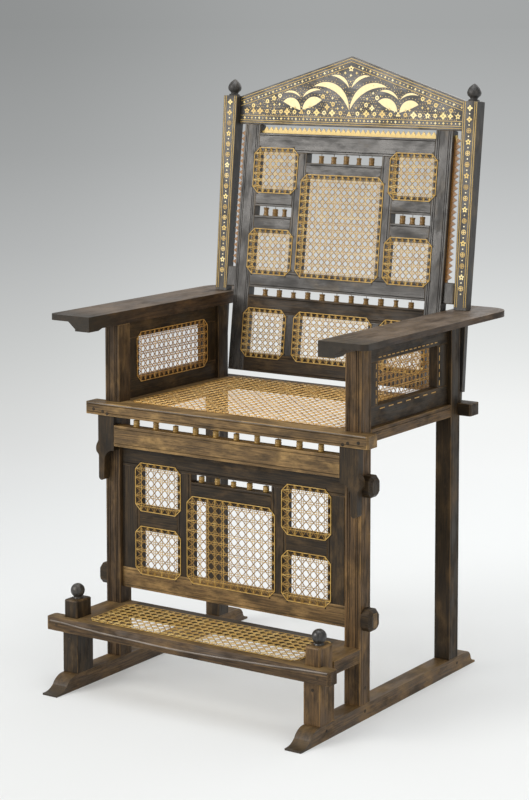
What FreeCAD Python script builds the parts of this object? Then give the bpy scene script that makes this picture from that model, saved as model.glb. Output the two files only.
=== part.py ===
# Lamu chair (kiti cha enzi): a high-backed Swahili chair of honour with caned panels.
# Millimetres, +Z up. The chair faces -Y. The origin is on the floor, midway between the legs and
# midway between the front tips of the runners and the rear ends of the arms.
# Left is -X and right is +X, as seen by someone who faces the chair.
import FreeCAD, Part
import math
import os
import re
from types import SimpleNamespace

SIZES = {
    # Legs, and the sled runners they stand on
    "half_width": 300,
    "leg_width": 35,
    "front_leg_depth": 37,
    "rear_leg_depth": 36,
    "leg_spacing": 346,
    "leg_tenon_length": 16,
    "leg_tenon_wall": 8,
    "runner_height": 30,
    "runner_front_reach": 204,
    "runner_rear_reach": 73,
    "front_toe_length": 62,
    "rear_toe_length": 34,
    "toe_tip_height": 4,
    # Seat frame
    "seat_height": 551,
    "seat_rail_height": 25,
    "seat_front_reach": 26,
    "seat_front_rail_depth": 48,
    "seat_rear_reach": 24,
    "seat_rear_rail_depth": 32,
    "seat_side_rail_width": 60,
    "horn_length": 31,
    "horn_depth": 36,
    "horn_corner": 3,
    # Cane
    "cane_thickness": 1.6,
    "cane_margin": 10,
    "cane_corner": 14,
    "cane_strand": 5,
    # Apron, its spindles and its hanging brackets
    "apron_gallery_height": 19,
    "apron_height": 42,
    "apron_front_reach": 19,
    "apron_thickness": 26,
    "apron_spindle_diameter": 11,
    "bracket_thickness": 19,
    "bracket_drop": 133,
    "bracket_overhang": 10,
    # Caned panel between the front legs
    "calf_setback": 8,
    "calf_thickness": 22,
    "calf_lift": 33,
    "calf_lap": 8,
    "calf_bottom_rail_height": 41,
    "calf_top_rail_height": 49,
    "calf_stile_width": 43,
    "calf_muntin_width": 33,
    "calf_centre_share": 0.503,
    "calf_cross_bar_height": 48,
    "calf_gallery_height": 16,
    "calf_gallery_bar_height": 36,
    "rail_tenon_height": 28,
    "rail_tenon_thickness": 14,
    "end_block_reach": 22,
    "end_block_height": 41,
    "end_block_depth": 37,
    "end_block_corner": 9,
    "end_block_chamfer": 6,
    # Arms, and the caned panels under them
    "arm_rise": 182,
    "arm_thickness": 26,
    "arm_flange_thickness": 12,
    "arm_width": 101,
    "arm_step_width": 17,
    "arm_front_reach": 95,
    "arm_rear_reach": 96,
    "arm_front_radius": 14,
    "arm_rear_radius": 46,
    "arm_lobe_drop": 4,
    "arm_lobe_length": 30,
    "arm_lobe_slope": 12,
    "arm_panel_setback": 9,
    "arm_panel_thickness": 19,
    "arm_panel_bottom_rail_height": 39,
    "arm_panel_top_rail_height": 33,
    "arm_panel_front_stile_width": 39,
    "arm_panel_rear_stile_width": 41,
    # Footrest and its posts
    "footrest_height": 141,
    "footrest_thickness": 26,
    "footrest_front_reach": 156,
    "footrest_front_rail_depth": 31,
    "footrest_horn_length": 30,
    "footrest_side_rail_width": 65,
    "footrest_rear_rail_depth": 34,
    "footrest_rear_reach": 30,
    "footrest_end_corner": 5,
    "bevel_end_height": 7,
    "bevel_middle_height": 14,
    "bevel_end_depth": 3,
    "bevel_middle_depth": 8,
    "post_front_reach": 140,
    "post_width": 36,
    "post_depth": 50,
    "post_shoulder": 2,
    "post_block_height": 35,
    "post_block_chamfer": 5,
    "ball_diameter": 28,
    "ball_neck_diameter": 17,
    "ball_neck_height": 4,
    # Lift-off back: posts, finials and pediment
    "back_lean": 5.1,
    "back_post_inset": 8.5,
    "back_post_width": 29,
    "back_post_top_width": 35,
    "back_post_depth": 19.5,
    "back_post_top_depth": 30,
    "back_post_height": 420,
    "tongue_width": 23,
    "tongue_depth": 12.5,
    "tongue_setback": 5.5,
    "tongue_leg_gap": 2.5,
    "tongue_foot_lift": 20,
    "stub_width": 14,
    "stub_depth": 7,
    "stub_setback": 9,
    "stub_in_rail": 18,
    "finial_height": 36,
    "finial_diameter": 29,
    "finial_neck_diameter": 16,
    "finial_ring_diameter": 23,
    "pediment_side_height": 60,
    "pediment_rise": 88,
    "pediment_setback": 15,
    "pediment_thickness": 14,
    # Lift-off back: caned panel
    "panel_lean": 7.4,
    "panel_foot_inset": 18.4,
    "panel_foot_lift": 19,
    "panel_inset": 47,
    "panel_thickness": 22,
    "panel_stile_width": 39,
    "panel_bottom_rail_height": 39,
    "panel_lower_opening_height": 87,
    "panel_lower_rail_height": 36,
    "panel_wide_gallery_height": 17,
    "panel_middle_rail_height": 37,
    "panel_short_bar_height": 37,
    "panel_side_gallery_height": 20,
    "panel_centre_bar_height": 33,
    "panel_top_gallery_height": 20,
    "panel_top_rail_height": 40,
    "panel_upper_centre_share": 0.497,
    "panel_upper_muntin_width": 29,
    "panel_lower_centre_share": 0.486,
    "panel_lower_muntin_width": 37,
    "spindle_diameter": 10,
    "saw_pitch": 12,
    "saw_base": 5,
    "saw_tooth": 9,
    "saw_thickness": 4,
    "saw_setback": 9,
    "saw_head_gap": 3.8,
    "lug_rise": 12.5,
    "lug_height": 43,
    "lug_setback": 6,
    "lug_thickness": 14,
    # Clearances, and how far a cutting shape runs past what it cuts
    "joint_clearance": 0.2,
    "lift_clearance": 0.5,
    "rest_gap": 0.3,
    "overrun": 5,
}

APRON_SPINDLE_COUNT = 10
CALF_SPINDLE_COUNT = 5
WIDE_SPINDLE_COUNT = 11
TOP_SPINDLE_COUNT = 5
SIDE_SPINDLE_COUNT = 3
SPINDLE_SIDE_COUNT = 8
BALL_FACET_COUNT = 6
FULL_TURN_ANGLE = 360

# Places along a runner's toe, as shares of its length and of its rise above the tip
TOE_SHARES = (((0.3, 0.82), (0.5, 0.36)), ((0.7, 0.07), (1, 0)))
# Outline of a hanging bracket, as shares of its width from the leg's inner face and of its drop
BRACKET_SHARES = (
    (0, 0.53),
    ((0.36, 0.57), (0.53, 0.7)),
    (0.55, 0.95),
    ((0.69, 1), (0.84, 0.95)),
    (0.84, 0.66),
    ((0.87, 0.61), (0.96, 0.58)),
    ((1, 0.52), (0.93, 0.44)),
    (0.87, 0.4),
    (0.87, 0),
)
# Profiles of a spindle and of a finial, as shares of the largest radius and of the height
SPINDLE_SHARES = ((0.8, 0), (1, 0.5), (0.8, 1))
FINIAL_BULB_SHARES = ((0.9, 0.32), (1, 0.49), (0.82, 0.73), (0.45, 0.89), (0, 1))
FINIAL_RING_SHARE = 0.1
FINIAL_NECK_SHARE = 0.2

document = FreeCAD.newDocument("LamuChair")
sheet = document.addObject("Spreadsheet::Sheet", "Dimensions")
for row, (name, size) in enumerate(SIZES.items(), start=1):
    sheet.set(f"A{row}", name)
    sheet.set(f"B{row}", str(size))
    sheet.setAlias(f"B{row}", name)
document.recompute()
S = SimpleNamespace(**{name: float(sheet.get(name)) for name in SIZES})
nodes = []


def bound(expression):
    """The expression with every named size pointed at its cell."""
    def cell(match):
        word = match.group()
        return f"Dimensions.{word}" if word in SIZES else word
    return re.sub(r"[a-z_]+", cell, expression)


def amount(expression):
    """The number that an expression of named sizes gives."""
    return float(sheet.evalExpression(bound(expression)))


def finish(piece, label):
    """Name a whole piece and list it for export."""
    piece.Label = label
    nodes.append(piece)
    return piece


def sided(side, low, high):
    """A span in X on the right side, or its mirror image on the left."""
    return (low, high) if side == "right" else (f"-({high})", f"-({low})")


def sign(side):
    return 1 if side == "right" else -1


# Frames: the place in depth, the height and the lean of the chair, the back posts and the back panel.
# Places in the upright frame are counted from the front face of the front legs.

REAR_LEG_BACK = "leg_spacing + rear_leg_depth"
ARM_TOP = "seat_height + arm_rise"
MIDDLE = f"({REAR_LEG_BACK} + arm_rear_reach - runner_front_reach) / 2"
TONGUE_DROP = "arm_rise + rest_gap - tongue_foot_lift"
POST_FRONT = (f"{REAR_LEG_BACK} + tongue_leg_gap - tongue_setback * cos(back_lean)"
              f" + ({TONGUE_DROP}) * tan(back_lean)")
BACK_POST_X = "half_width - back_post_inset"
UPRIGHT = (f"-{MIDDLE}", "0", None)
POST = (f"{POST_FRONT} - {MIDDLE}", f"{ARM_TOP} + rest_gap", "back_lean")
PANEL = (f"{REAR_LEG_BACK} - panel_foot_inset - {MIDDLE}", "seat_height + panel_foot_lift",
         "panel_lean")


def place(piece, frame, x="0", y="0", z="0"):
    """Set a piece's origin at x, y, z of a frame, and lean it back with the frame."""
    depth, height, lean = frame
    if lean:
        back_axis = FreeCAD.Rotation(FreeCAD.Vector(-1, 0, 0), getattr(S, lean))
        piece.Placement = FreeCAD.Placement(FreeCAD.Vector(), back_axis)
        piece.setExpression("Placement.Rotation.Angle", bound(lean))
        y, z = (f"({y}) * cos({lean}) + ({z}) * sin({lean})",
                f"({z}) * cos({lean}) - ({y}) * sin({lean})")
    piece.setExpression("Placement.Base.x", bound(x))
    piece.setExpression("Placement.Base.y", bound(f"{depth} + {y}"))
    piece.setExpression("Placement.Base.z", bound(f"{height} + {z}"))
    return piece


# Solids

def beam(x, y, z, frame=UPRIGHT):
    """A square-edged bar between two places in each direction of a frame."""
    bar = document.addObject("Part::Box", "Beam")
    bar.setExpression("Length", bound(f"({x[1]}) - ({x[0]})"))
    bar.setExpression("Width", bound(f"({y[1]}) - ({y[0]})"))
    bar.setExpression("Height", bound(f"({z[1]}) - ({z[0]})"))
    return place(bar, frame, x[0], y[0], z[0])


def cut(base, *tools):
    """A piece less one or more cutting shapes."""
    result = document.addObject("Part::Cut", "Cut")
    result.Base = base
    result.Tool = tools[0] if len(tools) == 1 else join(*tools)
    return result


def join(*pieces):
    """Several touching shapes made one."""
    result = document.addObject("Part::MultiFuse", "Join")
    result.Shapes = list(pieces)
    return result


def group(*pieces):
    """Separate alike solids that share one node."""
    result = document.addObject("Part::Compound", "Group")
    result.Links = list(pieces)
    return result


def plane(body, role):
    return next(each for each in body.Origin.OriginFeatures if each.Role == role)


def sketch(body, role, offset="0"):
    """A sketch on one of the body's own planes, moved along its normal."""
    drawing = body.newObject("Sketcher::SketchObject", "Sketch")
    drawing.AttachmentSupport = [(plane(body, role), "")]
    drawing.MapMode = "FlatFace"
    drawing.setExpression("AttachmentOffset.Base.z", bound(offset))
    return drawing


def trace(drawing, start, *steps):
    """Draw a closed outline. A step is its end, or the middle and the end of an arc."""
    here = FreeCAD.Vector(*start)
    for step in steps + (start,):
        if isinstance(step[0], tuple):
            middle, end = (FreeCAD.Vector(*place) for place in step)
            drawing.addGeometry(Part.Arc(here, middle, end), False)
        else:
            end = FreeCAD.Vector(*step)
            if (end - here).Length > 0:
                drawing.addGeometry(Part.LineSegment(here, end), False)
        here = end


def scaled(shares, origin, reach):
    """Outline steps given as shares, laid out from an origin."""
    def spot(share):
        return (origin[0] + share[0] * reach[0], origin[1] + share[1] * reach[1])
    return [tuple(spot(each) for each in step) if isinstance(step[0], tuple) else spot(step)
            for step in shares]


def pad(body, drawing, length):
    feature = body.newObject("PartDesign::Pad", "Pad")
    feature.Profile = drawing
    feature.setExpression("Length", bound(length))
    return feature


def profile(role, outline, length, offset="0", frame=UPRIGHT):
    """A body with one outline drawn on a plane of a frame and raised along its normal.

    The normals are +Z for XY_Plane, -Y for XZ_Plane and +X for YZ_Plane.
    """
    body = document.addObject("PartDesign::Body", "Body")
    drawing = sketch(body, role, offset)
    trace(drawing, *outline)
    pad(body, drawing, length)
    return place(body, frame)


def loft(body, sections, ruled=False):
    """A solid through several outlines of one body."""
    feature = body.newObject("PartDesign::AdditiveLoft", "Loft")
    feature.Profile = sections[0]
    feature.Sections = sections[1:]
    feature.Ruled = ruled
    return feature


def revolve(body, drawing):
    feature = body.newObject("PartDesign::Revolution", "Revolution")
    feature.Profile = drawing
    feature.ReferenceAxis = (drawing, ["V_Axis"])
    feature.Angle = FULL_TURN_ANGLE
    return feature


def edges_at(feature, axis, level):
    """The names of the edges that lie wholly at one level along an axis."""
    document.recompute()
    names = []
    for number, edge in enumerate(feature.Shape.Edges, start=1):
        ends = (getattr(edge.BoundBox, axis + "Min"), getattr(edge.BoundBox, axis + "Max"))
        if all(abs(end - level) < S.joint_clearance for end in ends):
            names.append(f"Edge{number}")
    return names


def chamfer(body, feature, names, size):
    bevel = body.newObject("PartDesign::Chamfer", "Chamfer")
    bevel.Base = (feature, names)
    bevel.setExpression("Size", bound(size))
    return bevel


# Cane and spindles

def octagon(width, height):
    """A rectangle about the origin with its corners cut off, as the cane's edge runs."""
    x, y, corner = width / 2, height / 2, min(S.cane_corner, width / 4, height / 4)
    return [(-x + corner, -y), (x - corner, -y), (x, -y + corner), (x, y - corner),
            (x - corner, y), (-x + corner, y), (-x, y - corner), (-x, -y + corner)]


def cane(role, middle, opening, columns, rows, offset="0", frame=UPRIGHT):
    """A sheet of open cane over an opening, with its edge on the frame all round."""
    body = document.addObject("PartDesign::Body", "Cane")
    drawing = sketch(body, role, offset)
    width, height = opening
    edge = octagon(width + 2 * S.cane_margin, height + 2 * S.cane_margin)
    trace(drawing, *[(middle[0] + x, middle[1] + y) for x, y in edge])
    pitch = (width / columns, height / rows)
    half = (pitch[0] / 2 - S.cane_strand / 2, pitch[1] / 2 - S.cane_strand / 2)
    for column in range(columns):
        for row in range(rows):
            x = middle[0] - width / 2 + (column + 0.5) * pitch[0]
            y = middle[1] - height / 2 + (row + 0.5) * pitch[1]
            trace(drawing, (x - half[0], y - half[1]), (x + half[0], y - half[1]),
                  (x + half[0], y + half[1]), (x - half[0], y + half[1]))
    pad(body, drawing, "cane_thickness")
    return place(body, frame)


def polygon(radius, sides):
    """The corners of a regular polygon with a flat side towards -Y."""
    corner = math.tau / sides
    return [(radius * math.sin((side + 0.5) * corner), -radius * math.cos((side + 0.5) * corner))
            for side in range(sides)]


def spindle_row(count, pitch, diameter, height):
    """A row of barrel-shaped spindles along X, the first standing on the origin."""
    body = document.addObject("PartDesign::Body", "Spindles")
    body.AllowCompound = True
    sections = []
    for girth, level in SPINDLE_SHARES:
        section = sketch(body, "XY_Plane", f"{level} * ({height})")
        trace(section, *polygon(girth * amount(diameter) / 2, SPINDLE_SIDE_COUNT))
        sections.append(section)
    first = loft(body, sections, ruled=True)
    document.recompute()
    row = body.newObject("PartDesign::LinearPattern", "Row")
    row.Originals = [first]
    row.Direction = (sections[0], ["H_Axis"])
    row.setExpression("Length", bound(f"({pitch}) * {count - 1}"))
    row.Occurrences = count
    body.Tip = row
    return body


# Runners and legs

LEG_INNER = "half_width - leg_width"
LEG_OUTER = "half_width"
ARM_UNDERSIDE = f"{ARM_TOP} - arm_thickness"
LEGS = {
    "front": ("0", "front_leg_depth"),
    "rear": ("leg_spacing", REAR_LEG_BACK),
}


def tenon_bar(side, legs, bottom, top, clearance="0"):
    """A leg's end tenon, or with a clearance the socket that takes it."""
    front, back = LEGS[legs]
    wall = f"leg_tenon_wall - {clearance}"
    x = sided(side, f"{LEG_INNER} + {wall}", f"{LEG_OUTER} - ({wall})")
    return beam(x, (f"{front} + {wall}", f"{back} - ({wall})"), (bottom, top))


def runner(side):
    """A sled runner: a long low bar with an ogee toe at each end and a mortise for each leg."""
    rise = S.runner_height - S.toe_tip_height
    front = -S.runner_front_reach
    rear = S.leg_spacing + S.rear_leg_depth + S.runner_rear_reach
    front_start = (front + S.front_toe_length, S.runner_height)
    rear_start = (rear - S.rear_toe_length, S.runner_height)
    front_toe = scaled(TOE_SHARES, (front_start[0], S.toe_tip_height), (-S.front_toe_length, rise))
    rear_toe = scaled(TOE_SHARES, (rear_start[0], S.toe_tip_height), (S.rear_toe_length, rise))
    (rear_turn, rear_middle), (rear_hollow, rear_tip) = rear_toe
    outline = [(front, 0), (rear, 0), rear_tip, (rear_hollow, rear_middle), (rear_turn, rear_start),
               front_start] + front_toe
    x = sided(side, LEG_INNER, LEG_OUTER)
    bar = profile("YZ_Plane", outline, "leg_width", x[0])
    mortises = [tenon_bar(side, legs, "runner_height - leg_tenon_length - rest_gap",
                          "runner_height + overrun", "joint_clearance") for legs in LEGS]
    return finish(cut(bar, *mortises), f"runner_{side}")


def leg(side, legs):
    """A leg that runs from the runner to the arm, with a tenon at each end."""
    shaft = beam(sided(side, LEG_INNER, LEG_OUTER), LEGS[legs], ("runner_height", ARM_UNDERSIDE))
    foot = tenon_bar(side, legs, "runner_height - leg_tenon_length", "runner_height")
    head = tenon_bar(side, legs, ARM_UNDERSIDE, f"{ARM_UNDERSIDE} + leg_tenon_length")
    post = join(shaft, foot, head)
    if legs == "front":
        post = cut(post, *(rail_tenon(side, level, "joint_clearance") for level in CALF_LEVELS))
    return finish(post, f"{legs}_leg_{side}")


# Levels that the seat, the apron and the panel under it share

SEAT_BOTTOM = "seat_height - seat_rail_height"
APRON_TOP = f"{SEAT_BOTTOM} - apron_gallery_height"
APRON_BOTTOM = f"{APRON_TOP} - apron_height"


# Panel between the front legs

CALF_FRONT = "calf_setback"
CALF_BACK = "calf_setback + calf_thickness"
CALF_Y = (CALF_FRONT, CALF_BACK)
CALF_MIDDLE = "calf_setback + calf_thickness / 2"
CALF_BOTTOM = "footrest_height + calf_lift"
CALF_TOP = f"{APRON_BOTTOM} + calf_lap"
CALF_LEVELS = {
    "bottom": f"{CALF_BOTTOM} + calf_bottom_rail_height / 2",
    "top": f"{CALF_TOP} - calf_top_rail_height / 2",
}
CALF_OPENING_BOTTOM = f"{CALF_BOTTOM} + calf_bottom_rail_height"
CALF_OPENING_TOP = f"{CALF_TOP} - calf_top_rail_height"
CALF_CROSS_MIDDLE = f"({CALF_OPENING_BOTTOM} + {CALF_OPENING_TOP}) / 2"
CALF_CROSS_BOTTOM = f"{CALF_CROSS_MIDDLE} - calf_cross_bar_height / 2"
CALF_CROSS_TOP = f"{CALF_CROSS_MIDDLE} + calf_cross_bar_height / 2"
CALF_SIDE_OUTER = f"{LEG_INNER} - calf_stile_width"
CALF_CENTRE_HALF = f"({CALF_SIDE_OUTER} - calf_muntin_width) * calf_centre_share"
CALF_SIDE_INNER = f"{CALF_CENTRE_HALF} + calf_muntin_width"
CALF_GALLERY_BOTTOM = f"{CALF_OPENING_TOP} - calf_gallery_height"


def rail_tenon(side, level, clearance="0"):
    """The tenon that runs through a front leg and its end block, or the mortise for it."""
    middle = CALF_LEVELS[level]
    reach = "end_block_reach + overrun" if clearance != "0" else "end_block_reach"
    x = sided(side, f"{LEG_INNER} - {clearance}", f"{LEG_OUTER} + {reach}")
    y = (f"{CALF_MIDDLE} - rail_tenon_thickness / 2 - {clearance}",
         f"{CALF_MIDDLE} + rail_tenon_thickness / 2 + {clearance}")
    z = (f"{middle} - rail_tenon_height / 2 - {clearance}",
         f"{middle} + rail_tenon_height / 2 + {clearance}")
    return beam(x, y, z)


def calf_rail(level, z):
    """A rail of the panel, with through tenons that show outside the legs."""
    span = beam((f"-({LEG_INNER})", LEG_INNER), CALF_Y, z)
    tenons = [rail_tenon(side, level) for side in ("left", "right")]
    return finish(join(span, *tenons), f"calf_{level}_rail")


def end_block(side, level):
    """A faceted block over the end of a tenon, outside the leg."""
    half_depth, half_height = S.end_block_depth / 2, S.end_block_height / 2
    corner = S.end_block_corner
    outline = [(-half_depth + corner, -half_height), (half_depth - corner, -half_height),
               (half_depth, -half_height + corner), (half_depth, half_height - corner),
               (half_depth - corner, half_height), (-half_depth + corner, half_height),
               (-half_depth, half_height - corner), (-half_depth, -half_height + corner)]
    offset = sided(side, LEG_OUTER, f"{LEG_OUTER} + end_block_reach")[0]
    body = profile("YZ_Plane", outline, "end_block_reach", offset)
    outer_face = sign(side) * (S.half_width + S.end_block_reach)
    raised = body.Tip
    chamfer(body, raised, edges_at(raised, "X", outer_face), "end_block_chamfer")
    place(body, UPRIGHT, "0", CALF_MIDDLE, CALF_LEVELS[level])
    return cut(body, rail_tenon(side, level, "joint_clearance"))


def calf_panel():
    """Stiles, rails, muntins and bars round five caned openings and a row of spindles."""
    calf_rail("bottom", (CALF_BOTTOM, CALF_OPENING_BOTTOM))
    calf_rail("top", (CALF_OPENING_TOP, CALF_TOP))
    sides = ("left", "right")
    upright_z = (CALF_OPENING_BOTTOM, CALF_OPENING_TOP)
    stiles = [beam(sided(side, CALF_SIDE_OUTER, LEG_INNER), CALF_Y, upright_z) for side in sides]
    muntins = [beam(sided(side, CALF_CENTRE_HALF, CALF_SIDE_INNER), CALF_Y, upright_z)
               for side in sides]
    bars = [beam(sided(side, CALF_SIDE_INNER, CALF_SIDE_OUTER), CALF_Y,
                 (CALF_CROSS_BOTTOM, CALF_CROSS_TOP)) for side in sides]
    finish(group(*stiles), "calf_stiles")
    finish(group(*muntins), "calf_muntins")
    finish(group(*bars), "calf_cross_bars")
    gallery_bar = beam((f"-({CALF_CENTRE_HALF})", CALF_CENTRE_HALF), CALF_Y,
                       (f"{CALF_GALLERY_BOTTOM} - calf_gallery_bar_height", CALF_GALLERY_BOTTOM))
    finish(gallery_bar, "calf_gallery_bar")
    pitch = f"2 * ({CALF_CENTRE_HALF}) / {CALF_SPINDLE_COUNT}"
    spindles = spindle_row(CALF_SPINDLE_COUNT, pitch, "spindle_diameter", "calf_gallery_height")
    place(spindles, UPRIGHT, f"-({pitch}) * {(CALF_SPINDLE_COUNT - 1) / 2}", CALF_MIDDLE,
          CALF_GALLERY_BOTTOM)
    finish(spindles, "calf_spindles")
    blocks = [end_block(side, level) for side in sides for level in CALF_LEVELS]
    finish(group(*blocks), "tenon_end_blocks")


def calf_cane():
    """The cane over the five openings, on the panel's front face."""
    low = amount(CALF_OPENING_BOTTOM)
    high = amount(CALF_OPENING_TOP)
    cross_low = amount(CALF_CROSS_BOTTOM)
    cross_high = amount(CALF_CROSS_TOP)
    centre_half = amount(CALF_CENTRE_HALF)
    inner = centre_half + S.calf_muntin_width
    outer = amount(CALF_SIDE_OUTER)
    centre_high = high - S.calf_gallery_height - S.calf_gallery_bar_height
    corners = []
    for way in (-1, 1):
        for bottom, top in ((low, cross_low), (cross_high, high)):
            middle = (way * (inner + outer) / 2, (bottom + top) / 2)
            corners.append(cane("XZ_Plane", middle, (outer - inner, top - bottom), 3, 3,
                                f"-({CALF_FRONT})"))
    finish(group(*corners), "calf_corner_cane")
    centre = cane("XZ_Plane", (0, (low + centre_high) / 2),
                  (2 * centre_half, centre_high - low), 5, 4, f"-({CALF_FRONT})")
    finish(centre, "calf_centre_cane")


# Seat

def mirrored(points):
    """An outline made whole from its right half, given from the front to the back."""
    return points + [(-x, y) for x, y in reversed(points)]


def horn_end(front, back):
    """The two outer corners of a horn, cut off a little."""
    end = S.half_width + S.horn_length
    corner = S.horn_corner
    return [(end - corner, front), (end, front + corner), (end, back - corner), (end - corner, back)]


def seat_front_rail():
    """The front rail: it passes before the legs, fills in between them and ends in two horns."""
    front = -S.seat_front_reach
    inner = S.half_width - S.leg_width - S.joint_clearance
    outer = S.half_width + S.joint_clearance
    horn_back = front + S.horn_depth
    back = front + S.seat_front_rail_depth
    points = horn_end(front, horn_back)
    points += [(outer, horn_back), (outer, -S.joint_clearance), (inner, -S.joint_clearance),
               (inner, back)]
    finish(profile("XY_Plane", mirrored(points), "seat_rail_height", SEAT_BOTTOM), "seat_front_rail")


def seat_rear_rail():
    """The rear rail, notched round the rear legs, with a mortise for each back post's foot."""
    back = S.leg_spacing + S.rear_leg_depth + S.seat_rear_reach
    inner = S.half_width - S.leg_width - S.joint_clearance
    outer = S.half_width + S.joint_clearance
    leg_back = S.leg_spacing + S.rear_leg_depth + S.joint_clearance
    points = [(inner, back - S.seat_rear_rail_depth), (inner, leg_back), (outer, leg_back),
              (outer, back - S.horn_depth)]
    points += horn_end(back - S.horn_depth, back)
    rail = profile("XY_Plane", mirrored(points), "seat_rail_height", SEAT_BOTTOM)
    mortises = [foot_stub(side, "lift_clearance") for side in ("left", "right")]
    finish(cut(rail, *mortises), "seat_rear_rail")


def seat_side_rail(side):
    """A side rail, flush with the legs outside and notched round them."""
    way = sign(side)
    gap = S.joint_clearance
    opening = S.half_width - S.seat_side_rail_width
    beside = S.half_width - S.leg_width - gap
    front = S.seat_front_rail_depth - S.seat_front_reach
    back = S.leg_spacing + S.rear_leg_depth + S.seat_rear_reach - S.seat_rear_rail_depth
    points = [(opening, front), (beside, front), (beside, S.front_leg_depth + gap),
              (S.half_width, S.front_leg_depth + gap), (S.half_width, S.leg_spacing - gap),
              (beside, S.leg_spacing - gap), (beside, back), (opening, back)]
    rail = profile("XY_Plane", [(way * x, y) for x, y in points], "seat_rail_height", SEAT_BOTTOM)
    finish(rail, f"seat_side_rail_{side}")


def seat_cane():
    """The caned seat, on top of its frame."""
    front = S.seat_front_rail_depth - S.seat_front_reach
    back = S.leg_spacing + S.rear_leg_depth + S.seat_rear_reach - S.seat_rear_rail_depth
    opening = (2 * (S.half_width - S.seat_side_rail_width), back - front)
    finish(cane("XY_Plane", (0, (front + back) / 2), opening, 10, 7, "seat_height"), "seat_cane")


# Apron under the front rail

def apron():
    """A deep board under the front rail, with a row of spindles in the gap between them."""
    inner = f"{LEG_INNER} - joint_clearance"
    depth = ("-apron_front_reach", "apron_thickness - apron_front_reach")
    finish(beam((f"-({inner})", inner), depth, (APRON_BOTTOM, APRON_TOP)), "apron_board")
    pitch = f"2 * ({LEG_INNER}) / {APRON_SPINDLE_COUNT + 1}"
    spindles = spindle_row(APRON_SPINDLE_COUNT, pitch, "apron_spindle_diameter",
                           "apron_gallery_height")
    place(spindles, UPRIGHT, f"-({pitch}) * {(APRON_SPINDLE_COUNT - 1) / 2}",
          "apron_thickness / 2 - apron_front_reach", APRON_TOP)
    finish(spindles, "apron_spindles")


def bracket(side):
    """A shaped bracket that hangs from the front rail before a leg."""
    way = sign(side)
    inner = S.half_width - S.leg_width
    width = S.leg_width + S.bracket_overhang
    top = S.seat_height - S.seat_rail_height
    outline = scaled(((0, 0),) + BRACKET_SHARES, (inner, top), (width, -S.bracket_drop))
    if way < 0:
        outline = [tuple((-x, y) for x, y in step) if isinstance(step[0], tuple)
                   else (-step[0], step[1]) for step in outline]
    finish(profile("XZ_Plane", outline, "bracket_thickness"), f"apron_bracket_{side}")


# Arms

def arm_plan(side):
    """The outline of an arm from above: straight inside, rounded at its outer corners."""
    way = sign(side)
    inner = S.half_width - S.leg_width
    outer = inner + S.arm_width
    front = -S.arm_front_reach
    back = S.leg_spacing + S.rear_leg_depth + S.arm_rear_reach
    bow = 1 - math.sqrt(0.5)
    small, large = S.arm_front_radius, S.arm_rear_radius
    points = [(inner, front), (outer - small, front),
              ((outer - bow * small, front + bow * small), (outer, front + small)),
              (outer, back - large),
              ((outer - bow * large, back - bow * large), (outer - large, back)),
              (inner, back)]
    return [tuple((way * x, y) for x, y in step) if isinstance(step[0], tuple)
            else (way * step[0], step[1]) for step in points]


def arm(side):
    """A wide arm: thick over the legs, thin outside them, with a lobe under its front end."""
    way = sign(side)
    inner = S.half_width - S.leg_width
    underside = amount(ARM_UNDERSIDE)
    flange = amount(ARM_TOP) - S.arm_flange_thickness
    lowest = underside - S.arm_lobe_drop - S.overrun
    back = S.leg_spacing + S.rear_leg_depth + S.arm_rear_reach + S.overrun
    board = profile("XY_Plane", arm_plan(side), "arm_thickness + arm_lobe_drop",
                    f"{ARM_UNDERSIDE} - arm_lobe_drop")
    outside = inner + S.arm_width + S.overrun
    under_flange = [(S.half_width, lowest), (S.half_width, underside),
                    (S.half_width + S.arm_step_width, flange), (outside, flange), (outside, lowest)]
    flange_cut = profile("XZ_Plane", [(way * x, z) for x, z in under_flange],
                         f"arm_front_reach + {REAR_LEG_BACK} + arm_rear_reach + 2 * overrun",
                         f"-({REAR_LEG_BACK} + arm_rear_reach + overrun)")
    lobe_end = -S.arm_front_reach + S.arm_lobe_length
    behind_lobe = [(lobe_end, lowest), (lobe_end, underside - S.arm_lobe_drop),
                   (lobe_end + S.arm_lobe_slope, underside), (back, underside), (back, lowest)]
    lobe_cut = profile("YZ_Plane", behind_lobe, "arm_width + 2 * overrun",
                       sided(side, f"{LEG_INNER} - overrun", f"{LEG_INNER} + arm_width + overrun")[0])
    sockets = [tenon_bar(side, legs, f"{ARM_UNDERSIDE} - overrun",
                         f"{ARM_UNDERSIDE} + leg_tenon_length + rest_gap", "joint_clearance")
               for legs in LEGS]
    slot = post_tongue(side, "-(arm_thickness + overrun)", "overrun", "lift_clearance")
    finish(cut(board, flange_cut, lobe_cut, slot, *sockets), f"arm_{side}")


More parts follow.
